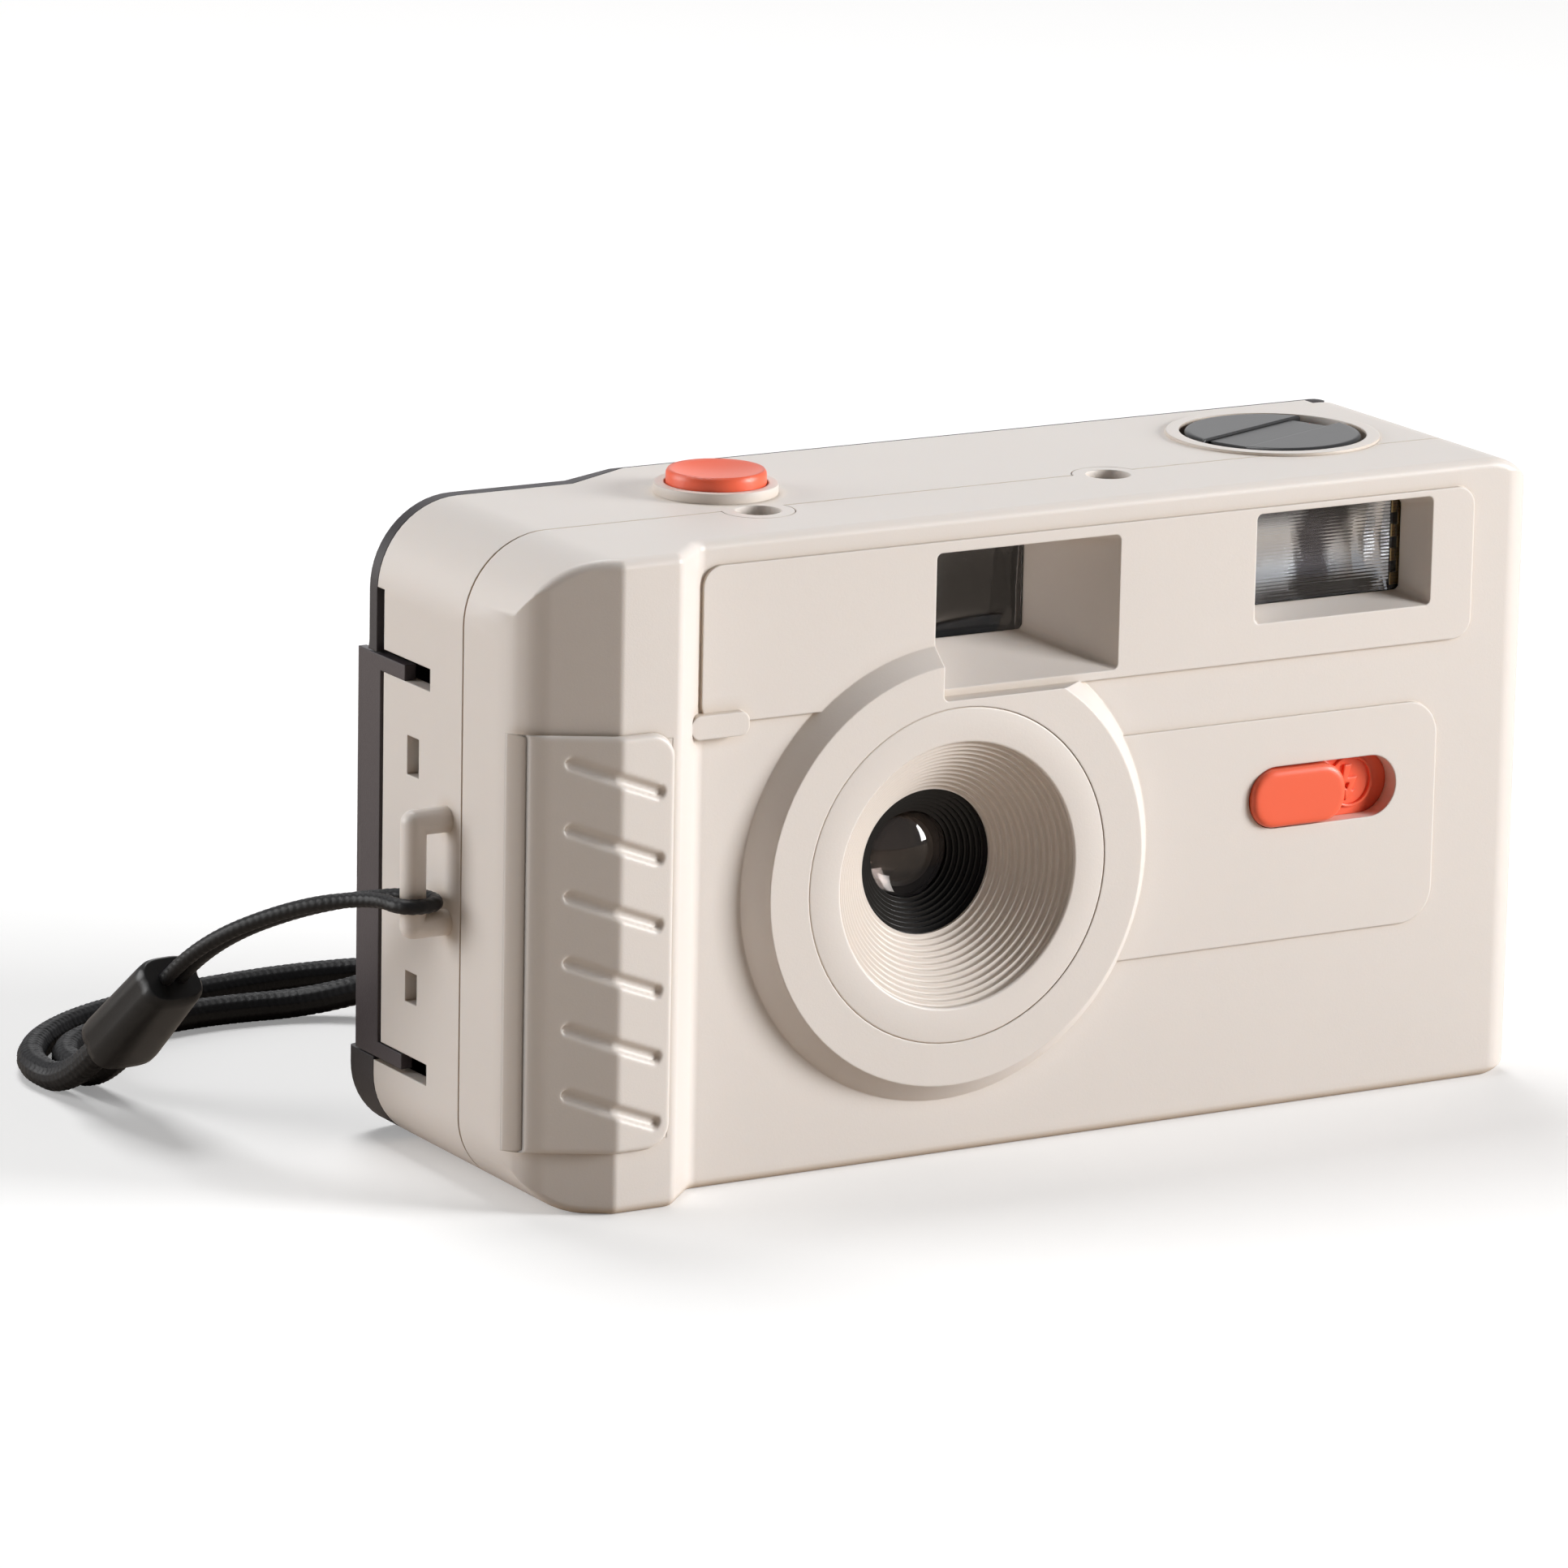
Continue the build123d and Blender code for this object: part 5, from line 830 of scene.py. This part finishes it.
class FILMCAMERA_OT_screws(bpy.types.Operator):
    """Cross-recessed screws in the top of the case."""

    bl_idname = "filmcamera.screws"
    bl_label = "Case screws"

    def execute(self, context):
        low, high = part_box("case_screws")
        head_radius = 1.9 * MM
        head_height = 1.28 * MM
        centre_y = (low.y + high.y) / 2
        head_z = high.z - head_height / 2
        places = [(x, centre_y, head_z) for x in (low.x + head_radius, high.x - head_radius)]
        values = {
            "Head Radius": head_radius,
            "Head Height": head_height,
            "Shank Radius": 0.85 * MM,
            "Shank Length": high.z - low.z - head_height,
            "Slot Size": (2.2 * MM, 0.45 * MM, 1.4 * MM),
        }
        screws = screw_tree().apply("cross_recessed_screws", places, finishes["steel"], values)
        smooth_by_angle(screws.data, 30)
        stand_on_body(screws, finishes["steel"], "camera", "screw_steel", ("case_screws",))
        return {"FINISHED"}


class FILMCAMERA_OT_lens(bpy.types.Operator):
    """Barrel with its black steps, the two lenses and the shutter."""

    bl_idname = "filmcamera.lens"
    bl_label = "Lens and shutter"

    def execute(self, context):
        weld_all(
            ("matt_black", "black_plastic", "lens_barrel", "lens_spacer", "shutter_plate", "release_lever"),
            ("dark_steel", "dark_steel", "shutter_blade"),
            ("glass", "lens_glass", "front_lens", "rear_lens"),
        )
        return {"FINISHED"}


class FILMCAMERA_OT_viewfinder(bpy.types.Operator):
    """Front pane, dark tunnel and eyepiece of the viewfinder."""

    bl_idname = "filmcamera.viewfinder"
    bl_label = "Viewfinder"

    def execute(self, context):
        weld_all(
            ("pane", "clear_plastic", "viewfinder_lens"),
            ("satin_black", "black_plastic", "viewfinder_tunnel"),
            ("clear", "clear_plastic", "viewfinder_eyepiece"),
        )
        self.painted_highlight_edge()
        return {"FINISHED"}

    def painted_highlight_edge(self):
        """Painted highlight: a bright metal strip behind the right edge of the pane, standing in for the line of
        light there.
        """
        low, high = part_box("viewfinder_lens")
        right = high.x - 0.35 * MM
        bottom, top = low.z + 0.4 * MM, high.z - 0.4 * MM
        strip = ((high.x - 1.0 * MM, bottom), (right, bottom), (right, top), (high.x - 0.75 * MM, top))
        line = extruded_outline("viewfinder_bright_edge", strip, high.y + 0.02 * MM, high.y + 0.08 * MM)
        stand_on_body(line, finishes["reflector"], "camera", "reflector")


class FILMCAMERA_OT_flash(bpy.types.Operator):
    """Ribbed pane, frame, faceted reflector and tube of the flash."""

    bl_idname = "filmcamera.flash"
    bl_label = "Flash"

    def execute(self, context):
        look = context.scene.film_camera_flash
        self.pane(look)
        self.reflector()
        self.gilded_strip()
        self.thin_frame()
        weld_all(("glass", "lens_glass", "flash_tube"))
        return {"FINISHED"}

    def pane(self, look):
        """Clear pane with level ribs on its inner face."""
        low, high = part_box("flash_window")
        centre = (low + high) / 2
        centre.y = high.y - look.pane_thickness / 2 - look.rib_depth
        size = (high.x - low.x, look.pane_thickness, high.z - low.z)
        values = {"Size": size, "Ribs": look.rib_count, "Rib Depth": look.rib_depth}
        pane = ribbed_pane_tree().apply("ribbed_pane", (centre,), finishes["clear"], values)
        smooth_by_angle(pane.data, 50)
        stand_on_body(pane, finishes["clear"], "camera", "clear_plastic", ("flash_window",))

    def reflector(self):
        """Bright trough whose ends close in flat facets."""
        low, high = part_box("flash_reflector")
        bottom = low.z - 2.1 * MM
        half_height = (high.z - bottom - 0.4 * MM) / 2
        lip_y = low.y + 0.1 * MM
        depth = 2.4 * MM
        end_run = 3.6 * MM
        creases = (0.0, 0.7, -0.5, 0.3)
        across = 28
        around = 9
        vertices = []
        for step in range(across + 1):
            x = low.x + (high.x - low.x) * step / across
            share = min(min(x - low.x, high.x - x) / end_run, 1.0)
            closing = math.sin(share * math.pi / 2) ** 0.8
            crease = creases[step % 4] * (1.0 - share) * MM
            for ring in range(around + 1):
                height = 2.0 * ring / around - 1.0
                sink = depth * closing * (1.0 - height**2) ** 0.6 + crease * (1 - abs(height))
                vertices.append((x, lip_y + max(sink, 0.0), (bottom + high.z) / 2 + height * half_height))
        faces = [tuple(reversed(face)) for face in grid_faces(across + 1, around + 1)]
        piece = new_piece("faceted_reflector", vertices, faces, outward=False)
        wall = piece.modifiers.new("wall", "SOLIDIFY")
        wall.thickness = 0.15 * MM
        wall.offset = 0.0
        plain_mesh(piece)
        smooth_by_angle(piece.data, 9)
        stand_on_body(piece, finishes["reflector"], "camera", "reflector", ("flash_reflector",))

    def thin_frame(self):
        """Black frame behind the pane: thin bars, and a wider one at the right for the strip."""
        low, high = (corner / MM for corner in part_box("flash_frame"))
        rings = []
        for left, right, bottom, top in (
            (low.x, high.x, low.z, high.z), (low.x + 0.4, high.x - 1.5, low.z + 0.35, high.z - 0.35)
        ):
            rings.append(((left, bottom), (right, bottom), (right, top), (left, top)))
        vertices = [(x, y, z) for y in (low.y, high.y) for ring in rings for x, z in ring]
        faces = []
        for one, other in ((0, 4), (8, 12), (0, 8), (4, 12)):
            for side in range(4):
                follow = (side + 1) % 4
                faces.append((one + side, one + follow, other + follow, other + side))
        piece = mesh_piece("thin_flash_frame", vertices, faces)
        stand_on_body(piece, finishes["matt_black"], "camera", "black_plastic", ("flash_frame",))

    def gilded_strip(self):
        """Gold-coloured comb of the trigger strip at the right end of the pane."""
        low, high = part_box("flash_frame")
        teeth = 4
        right = high.x - 0.35 * MM
        root = right - 0.55 * MM
        tip = right - 1.25 * MM
        bottom = low.z + 1.2 * MM
        top = high.z - 1.2 * MM
        pitch = (top - bottom) / (2 * teeth - 1)
        outline = [(right, bottom), (right, top)]
        for tooth in range(teeth):
            upper = top - 2 * tooth * pitch
            lower = upper - pitch
            outline += [(tip, upper), (tip, lower), (root, lower), (root, lower - pitch)]
        # The last tooth ends at the bottom
        outline = outline[:-3] + [(tip, bottom)]
        strip = extruded_outline("gilded_strip", outline, low.y - 0.02 * MM, low.y + 0.1 * MM)
        stand_on_body(strip, finishes["gold"], "camera", "spring_steel")


class FILMCAMERA_OT_electrics(bpy.types.Operator):
    """Board, capacitor, transformer and contacts."""

    bl_idname = "filmcamera.electrics"
    bl_label = "Electrics"

    def execute(self, context):
        weld_all(
            ("board", "board", "flash_board"),
            ("sleeve", "capacitor_sleeve", "flash_capacitor"),
            ("winding", "transformer", "flash_transformer"),
            ("steel", "spring_steel", "switch_contact", "battery_contact_top", "battery_contact_bottom"),
        )
        return {"FINISHED"}


# Ring and arrow on the switch, in millimetres
switch_mark_x = left_x + 94.0
switch_mark_foot_y = front_y + 2.12
switch_mark_top_y = front_y + 1.82


class FILMCAMERA_OT_switch(bpy.types.Operator):
    """Flash switch with its raised ring and bolt-shaped arrow."""

    bl_idname = "filmcamera.switch"
    bl_label = "Flash switch"

    def execute(self, context):
        weld_all(("soft_orange", "orange_plastic", "flash_switch"))
        x, foot_y, top_y = switch_mark_x, switch_mark_foot_y, switch_mark_top_y
        z = middle("flash_switch").z / MM + 0.2
        profile = ((2.65, foot_y), (2.58, top_y), (2.32, top_y), (2.25, foot_y), (2.65, foot_y))
        ring = turned("switch_ring", profile, x, z, 48, 50)
        bolt = (
            (-0.75, 1.75), (0.1, 1.75), (-0.35, 0.45), (0.75, 0.45), (0.1, -0.95), (0.6, -0.85),
            (-0.55, -1.9), (-0.75, -0.45), (-0.4, -0.75), (-0.1, -0.1), (-1.05, -0.1),
        )
        outline = [((x + across) * MM, (z + up) * MM) for across, up in bolt]
        arrow = extruded_outline("switch_arrow", outline, top_y * MM, foot_y * MM)
        for mark in (ring, arrow):
            stand_on_body(mark, finishes["orange"], "flash_switch", "orange_plastic")
        return {"FINISHED"}


class FILMCAMERA_OT_button(bpy.types.Operator):
    """Shutter button and its spring."""

    bl_idname = "filmcamera.button"
    bl_label = "Shutter button"

    def execute(self, context):
        weld_all(
            ("soft_orange", "orange_plastic", "shutter_button"),
            ("steel", "spring_steel", "button_spring"),
            ("door", "grey_plastic", "rewind_release_button"),
        )
        return {"FINISHED"}


class FILMCAMERA_OT_knob(bpy.types.Operator):
    """Rewind knob, folding crank and the shaft below."""

    bl_idname = "filmcamera.knob"
    bl_label = "Rewind knob"

    def execute(self, context):
        weld_all(
            ("knob", "black_satin", "rewind_knob", "crank_arm"),
            ("matt_black", "black_plastic", "rewind_shaft", "rewind_sleeve"),
            ("steel", "spring_steel", "crank_pin"),
        )
        return {"FINISHED"}


class FILMCAMERA_OT_film_path(bpy.types.Operator):
    """Chassis, spool, wheel, sprocket and the counter dial with its marks."""

    bl_idname = "filmcamera.film_path"
    bl_label = "Film path"

    def execute(self, context):
        weld_all(
            ("matt_black", "black_plastic", "chassis", "take_up_spool", "sprocket_wheel"),
            ("door", "grey_plastic", "advance_wheel"),
            ("white", "white_plastic", "counter_dial"),
        )
        low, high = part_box("counter_dial")
        place = middle("counter_dial")
        place.z = high.z - 1.2 * MM
        values = {"Count": 20, "Radius": (high.x - low.x) / 2, "Mark Size": (0.06 * MM, 0.25 * MM, 1.1 * MM)}
        marks = dial_mark_tree().apply("dial_marks", (place,), finishes["marks"], values)
        stand_on_body(marks, finishes["marks"], "counter", "black_plastic")
        return {"FINISHED"}


class FILMCAMERA_OT_back(bpy.types.Operator):
    """Hinged back, its windows, latch, pressure plate and seals."""

    bl_idname = "filmcamera.back"
    bl_label = "Back"

    def execute(self, context):
        weld_all(
            ("door", "grey_plastic", "back_cover"),
            ("latch", "grey_plastic", "latch"),
            ("clear", "clear_plastic", "film_window", "counter_window"),
            ("lamp", "lamp", "ready_lamp"),
            ("satin_black", "black_plastic", "pressure_plate"),
            ("steel", "spring_steel", "plate_spring", "hinge_pin", "latch_pin"),
            ("foam", "foam", "light_seals"),
        )
        return {"FINISHED"}


# Wrist strap

# The route of each cord follows the points of its tube, in millimetres, from the ends of the ferrule
ferrule_length = 13.4
ferrule_way = (0.078, -0.749, 0.663)
ferrule_axis = Vector(ferrule_way).normalized()
ferrule_across = Vector((0.995, 0.104, 0.0)).normalized()
ferrule_thin_end = Vector((left_x - 15.7, front_y + 40.0, 15.5))
ferrule_thick_end = ferrule_thin_end - ferrule_axis * ferrule_length


def cord_line(name, points):
    """Points along the smooth line of a cord, in metres, read from its spline."""
    curve = bpy.data.curves.new(name, "CURVE")
    curve.dimensions = "3D"
    spline = curve.splines.new("NURBS")
    spline.points.add(len(points) - 1)
    for target, point in zip(spline.points, points):
        target.co = (*[value * MM for value in point], 1.0)
    spline.order_u = 3
    spline.use_endpoint_u = True
    spline.resolution_u = 24
    guide = bpy.data.objects.new(name, curve)
    bpy.context.scene.collection.objects.link(guide)
    graph = bpy.context.evaluated_depsgraph_get()
    mesh = bpy.data.meshes.new_from_object(guide.evaluated_get(graph))
    line = np.array([vertex.co[:] for vertex in mesh.vertices])
    bpy.data.objects.remove(guide)
    bpy.data.meshes.remove(mesh)
    return line


def evenly(line, step):
    """The same line with points a steady step apart."""
    run = np.concatenate(([0.0], np.cumsum(np.linalg.norm(np.diff(line, axis=0), axis=1))))
    count = max(int(run[-1] / step), 8)
    marks = np.linspace(0.0, run[-1], count)
    return np.stack([np.interp(marks, run, line[:, axis]) for axis in range(3)], axis=1), marks


def braided_tube(name, line, diameter, columns, step, sides):
    """Tube along a line whose surface is a plait: columns of short slanting strands that lean to and fro."""
    centres, marks = evenly(line, step)
    tangents = np.gradient(centres, axis=0)
    tangents /= np.linalg.norm(tangents, axis=1)[:, None]
    side = np.cross(tangents[0], (0.0, 0.0, 1.0))
    if np.linalg.norm(side) < 0.1:
        side = np.cross(tangents[0], (1.0, 0.0, 0.0))
    pitch = 0.52 * diameter * math.pi / columns * 2
    relief = 0.055 * diameter
    angles = np.arange(sides) * 2 * math.pi / sides
    column = angles / (2 * math.pi) * columns
    share = column % 1.0
    lean = np.where(np.floor(column) % 2 == 0, 1.0, -1.0)
    crown = np.sin(math.pi * np.clip(share, 0.02, 0.98)) ** 0.35
    vertices = []
    for centre, tangent, mark in zip(centres, tangents, marks):
        side = side - tangent * np.dot(side, tangent)
        side /= np.linalg.norm(side)
        other = np.cross(tangent, side)
        strand = np.abs(np.sin(math.pi * (mark / pitch + lean * (share - 0.5) * 0.8)))
        radius = diameter / 2 - relief * (1.0 - strand**0.6 * crown)
        ring = centre + radius[:, None] * (np.cos(angles)[:, None] * side + np.sin(angles)[:, None] * other)
        vertices.extend(ring.tolist())
    faces = grid_faces(len(centres), sides, closed=True)
    faces += [tuple(reversed(range(sides))), tuple(range(len(vertices) - sides, len(vertices)))]
    return new_piece(name, vertices, faces, 60), centres


class FILMCAMERA_OT_strap(bpy.types.Operator):
    """Wrist strap: thin cord round the lug, ferrule, and thick loop behind the camera."""

    bl_idname = "filmcamera.strap"
    bl_label = "Wrist strap"

    def execute(self, context):
        look = context.scene.film_camera_strap
        ferrule = self.ferrule()
        self.thin_cord(look, ferrule)
        self.thick_loop(look, ferrule)
        return {"FINISHED"}

    def ferrule(self):
        """Tapered moulded ferrule with a seam along each side and a soft lip at its ends."""
        sections = (
            (0.0, 3.45, 2.55), (0.03, 3.75, 2.85), (0.1, 3.8, 2.9), (0.5, 3.5, 2.78), (0.9, 3.24, 2.63),
            (0.97, 3.15, 2.55), (1.0, 2.85, 2.25),
        )
        turns = 64
        fullness = 0.62
        up = ferrule_axis.cross(ferrule_across).normalized()
        vertices = []
        for share, half_width, half_height in sections:
            centre = ferrule_thick_end + ferrule_axis * ferrule_length * share
            for step in range(turns):
                angle = 2 * math.pi * step / turns
                cos, sin = math.cos(angle), math.sin(angle)
                across = half_width * math.copysign(abs(cos) ** fullness, cos)
                high = half_height * math.copysign(abs(sin) ** fullness, sin)
                seam = 0.12 if abs(sin) < 0.06 else 0.0
                across -= math.copysign(seam, across)
                vertices.append(tuple((centre + ferrule_across * across + up * high) * MM))
        faces = grid_faces(len(sections), turns, closed=True)
        faces += [tuple(range(turns)), tuple(range(len(vertices) - turns, len(vertices)))]
        piece = new_piece("moulded_ferrule", vertices, faces, 35)
        return stand_on_body(piece, finishes["ferrule"], "camera", "ferrule_plastic", ("strap_ferrule",))

    def thin_cord(self, look, ferrule):
        """Thin cord from the ferrule round the lug and back."""
        # The cord's way round the upright bar of the lug
        bar_x = left_x - 3.55
        hook = 2.15
        half_cord, gap = 0.75, 0.1
        side = ferrule_across * (half_cord + gap)
        start = ferrule_thin_end - side
        end = ferrule_thin_end + side
        points = [
            start,
            start + ferrule_axis * 7.0,
            (bar_x - 6.8, lug_y + 11.0, 25.6),
            (bar_x - hook, lug_y + 3.6, 27.6),
            (bar_x - hook, lug_y - hook, 27.8),
            (bar_x + hook, lug_y - hook, 27.8),
            (bar_x + hook, lug_y + 3.4, 27.6),
            (bar_x - 4.6, lug_y + 11.6, 25.4),
            end + ferrule_axis * 7.0,
            end,
        ]
        line = cord_line("thin_cord_line", points)
        piece, path = braided_tube("thin_cord", line, look.thin_diameter, look.thin_columns, 0.14 * MM, 24)
        stand_on_body(piece, finishes["cord"], "camera", "cord", ("strap_cord_thin",))

    def thick_loop(self, look, ferrule):
        """Thick loop that lies on the table behind the camera, its spare length in a coil of a turn and a half."""
        floor_z = 1.5
        half_cord, gap = 1.5, 0.15
        side = ferrule_across * (half_cord + gap)
        start = ferrule_thick_end - side
        end = ferrule_thick_end + side
        drop = (start.z - floor_z) / ferrule_way[2]
        rail = Vector(ferrule_way)
        x, y = left_x, front_y
        climb = 3.25
        points = [
            start,
            start - rail * drop,
            (x - 19.9, y + 63.2, floor_z),
            (x - 15.6, y + 70.6, floor_z),
            (x - 8.0, y + 76.6, floor_z),
            (x + 4.0, y + 80.4, floor_z),
            (x + 20.0, y + 82.0, floor_z),
            (x + 32.0, y + 79.2, floor_z),
            *self.spare_turn(x + 34.0, y + 68.5, floor_z, climb),
            (x + 24.2, y + 66.6, floor_z + climb),
            (x + 16.4, y + 72.2, floor_z),
            (x + 6.0, y + 73.8, floor_z),
            (x - 2.6, y + 72.6, floor_z),
            (x - 11.0, y + 70.2, floor_z),
            (x - 16.2, y + 63.8, floor_z),
            end - rail * drop,
            end,
        ]
        line = cord_line("thick_loop_line", points)
        piece, path = braided_tube("thick_loop", line, look.thick_diameter, look.thick_columns, 0.22 * MM, 36)
        stand_on_body(piece, finishes["cord"], "camera", "cord", ("strap_loop_thick",))

    def spare_turn(self, x, y, floor_z, climb):
        """Corners of one turn and a half round a place, the last turn resting on the first."""
        reach = 8.7 / math.cos(math.radians(42.43 / 2))
        corners = []
        for step in range(13):
            angle = math.radians(35.4 - step * 42.43)
            climbed = min(max(step - 5.55, 0.0), 1.0)
            corners.append((x + reach * math.cos(angle), y + reach * math.sin(angle), floor_z + climb * climbed))
        return corners


# Table, light and camera

# The photograph's camera: its turn, fall and roll in degrees, its place in metres, and its lens in millimetres
camera_turn = 30.486
camera_fall = 13.738
camera_roll = 1.108
camera_place = (-0.45286, -0.73937, 0.24447)
camera_lens = 211.0
camera_film_width = 36.0

# Light that the floor adds where the camera sees it, the sky's tone in gloss, and what the lights point at
floor_lift = 0.25
gloss_tone = (0.34, 0.34, 0.35, 1.0)
white_tone = (1.0, 1.0, 1.0, 1.0)
light_target = (0.0, 0.0, 0.03)


class FILMCAMERA_OT_stage(bpy.types.Operator):
    """Pale table, soft studio light and the photograph's camera."""

    bl_idname = "filmcamera.stage"
    bl_label = "Stage"

    def execute(self, context):
        look = context.scene.film_camera_stage
        self.table(look)
        self.sky(look)
        self.lamp("left_light", (-1.13, 0.7, 0.35), 0.8, look.key_power)
        self.lamp("right_light", (1.25, -0.92, 0.45), 0.6, look.side_power)
        self.lamp("top_light", (0.05, 0.6, 1.25), 0.6, look.top_power)
        backdrop = self.lamp("backdrop_light", (0.9, 1.55, 0.46), 1.0, look.backdrop_power)
        backdrop.visible_diffuse = False
        self.camera()
        context.scene.view_settings.view_transform = "Standard"
        return {"FINISHED"}

    def table(self, look):
        """Wide pale floor that looks white but keeps the shadow, and sends back warmer, dimmer light."""
        edit = bmesh.new()
        bmesh.ops.create_grid(edit, x_segments=2, y_segments=2, size=3.0)
        mesh = bpy.data.meshes.new("table")
        edit.to_mesh(mesh)
        edit.free()
        floor = link_mesh("table", mesh)
        material = bpy.data.materials.new("table_white")
        material.use_nodes = True
        tree = material.node_tree
        tree.nodes.clear()
        seen = add_node(tree, "ShaderNodeLightPath").outputs["Is Camera Ray"]
        tone = blended(tree, seen, (*look.bounce_colour, 1.0), (*look.floor_colour, 1.0))
        matt = add_node(tree, "ShaderNodeBsdfDiffuse", {"Color": tone})
        glow = add_node(tree, "ShaderNodeEmission", {"Strength": calculate(tree, "MULTIPLY", seen, floor_lift)})
        both = add_node(tree, "ShaderNodeAddShader", {0: matt.outputs[0], 1: glow.outputs[0]})
        add_node(tree, "ShaderNodeOutputMaterial", {"Surface": both.outputs[0]})
        floor.data.materials.append(material)

    def sky(self, look):
        """Even light all round: dim and warm for matt faces, brighter in gloss, white behind the camera."""
        world = bpy.data.worlds.new("studio")
        bpy.context.scene.world = world
        world.use_nodes = True
        tree = world.node_tree
        path = add_node(tree, "ShaderNodeLightPath")
        colour = (look.sky, look.sky * 0.88, look.sky * 0.78, 1.0)
        for label, tone in (("Is Glossy Ray", gloss_tone), ("Is Camera Ray", white_tone)):
            colour = blended(tree, path.outputs[label], colour, tone)
        tree.links.new(colour, tree.nodes["Background"].inputs["Color"])

    def lamp(self, name, place, size, power):
        """Square soft light that faces the camera on the table."""
        data = bpy.data.lights.new(name, "AREA")
        data.shape = "SQUARE"
        data.size = size
        data.energy = power
        lamp = bpy.data.objects.new(name, data)
        bpy.context.scene.collection.objects.link(lamp)
        lamp.location = place
        aim = Vector(light_target) - Vector(place)
        lamp.rotation_euler = aim.to_track_quat("-Z", "Y").to_euler()
        return lamp

    def camera(self):
        """The photograph's camera: place, direction, roll and lens."""
        turn, fall, roll = (math.radians(angle) for angle in (camera_turn, camera_fall, camera_roll))
        right = Vector((math.cos(turn), -math.sin(turn), 0.0))
        ahead = Vector((math.sin(turn) * math.cos(fall), math.cos(turn) * math.cos(fall), -math.sin(fall)))
        up = right.cross(ahead)
        across = right * math.cos(roll) + up * math.sin(roll)
        upward = up * math.cos(roll) - right * math.sin(roll)
        data = bpy.data.cameras.new("photograph_camera")
        data.sensor_width = camera_film_width
        data.lens = camera_lens
        data.clip_start = 0.01
        camera = bpy.data.objects.new("photograph_camera", data)
        bpy.context.scene.collection.objects.link(camera)
        axes = Matrix((across, upward, -ahead)).transposed().to_4x4()
        camera.matrix_world = Matrix.Translation(camera_place) @ axes
        bpy.context.scene.camera = camera


class FILMCAMERA_PT_panel(bpy.types.Panel):
    bl_label = "Film Camera"
    bl_idname = "FILMCAMERA_PT_panel"
    bl_space_type = "VIEW_3D"
    bl_region_type = "UI"
    bl_category = "Film Camera"

    def draw(self, context):
        layout = self.layout
        for look in (
            context.scene.film_camera_case, context.scene.film_camera_flash,
            context.scene.film_camera_strap, context.scene.film_camera_stage,
        ):
            box = layout.box()
            for name in look.__annotations__:
                box.prop(look, name)
        for operator in piece_operators:
            layout.operator(operator.bl_idname)


looks = {
    "film_camera_case": CaseLook,
    "film_camera_flash": FlashLook,
    "film_camera_strap": StrapLook,
    "film_camera_stage": StageLook,
}
piece_operators = (
    FILMCAMERA_OT_stage,
    FILMCAMERA_OT_strap,
    FILMCAMERA_OT_case,
    FILMCAMERA_OT_screws,
    FILMCAMERA_OT_lens,
    FILMCAMERA_OT_viewfinder,
    FILMCAMERA_OT_flash,
    FILMCAMERA_OT_electrics,
    FILMCAMERA_OT_switch,
    FILMCAMERA_OT_button,
    FILMCAMERA_OT_knob,
    FILMCAMERA_OT_film_path,
    FILMCAMERA_OT_back,
)


def register():
    for look in looks.values():
        bpy.utils.register_class(look)
    for name, look in looks.items():
        setattr(bpy.types.Scene, name, PointerProperty(type=look))
    for operator in piece_operators:
        bpy.utils.register_class(operator)
    bpy.utils.register_class(FILMCAMERA_PT_panel)


def unregister():
    bpy.utils.unregister_class(FILMCAMERA_PT_panel)
    for operator in reversed(piece_operators):
        bpy.utils.unregister_class(operator)
    for name in looks:
        delattr(bpy.types.Scene, name)
    for look in reversed(list(looks.values())):
        bpy.utils.unregister_class(look)


def main():
    register()
    make_finishes(bpy.context.scene.film_camera_case)
    for operator in piece_operators:
        family, action = operator.bl_idname.split(".")
        getattr(getattr(bpy.ops, family), action)()


if __name__ == "__main__":
    main()
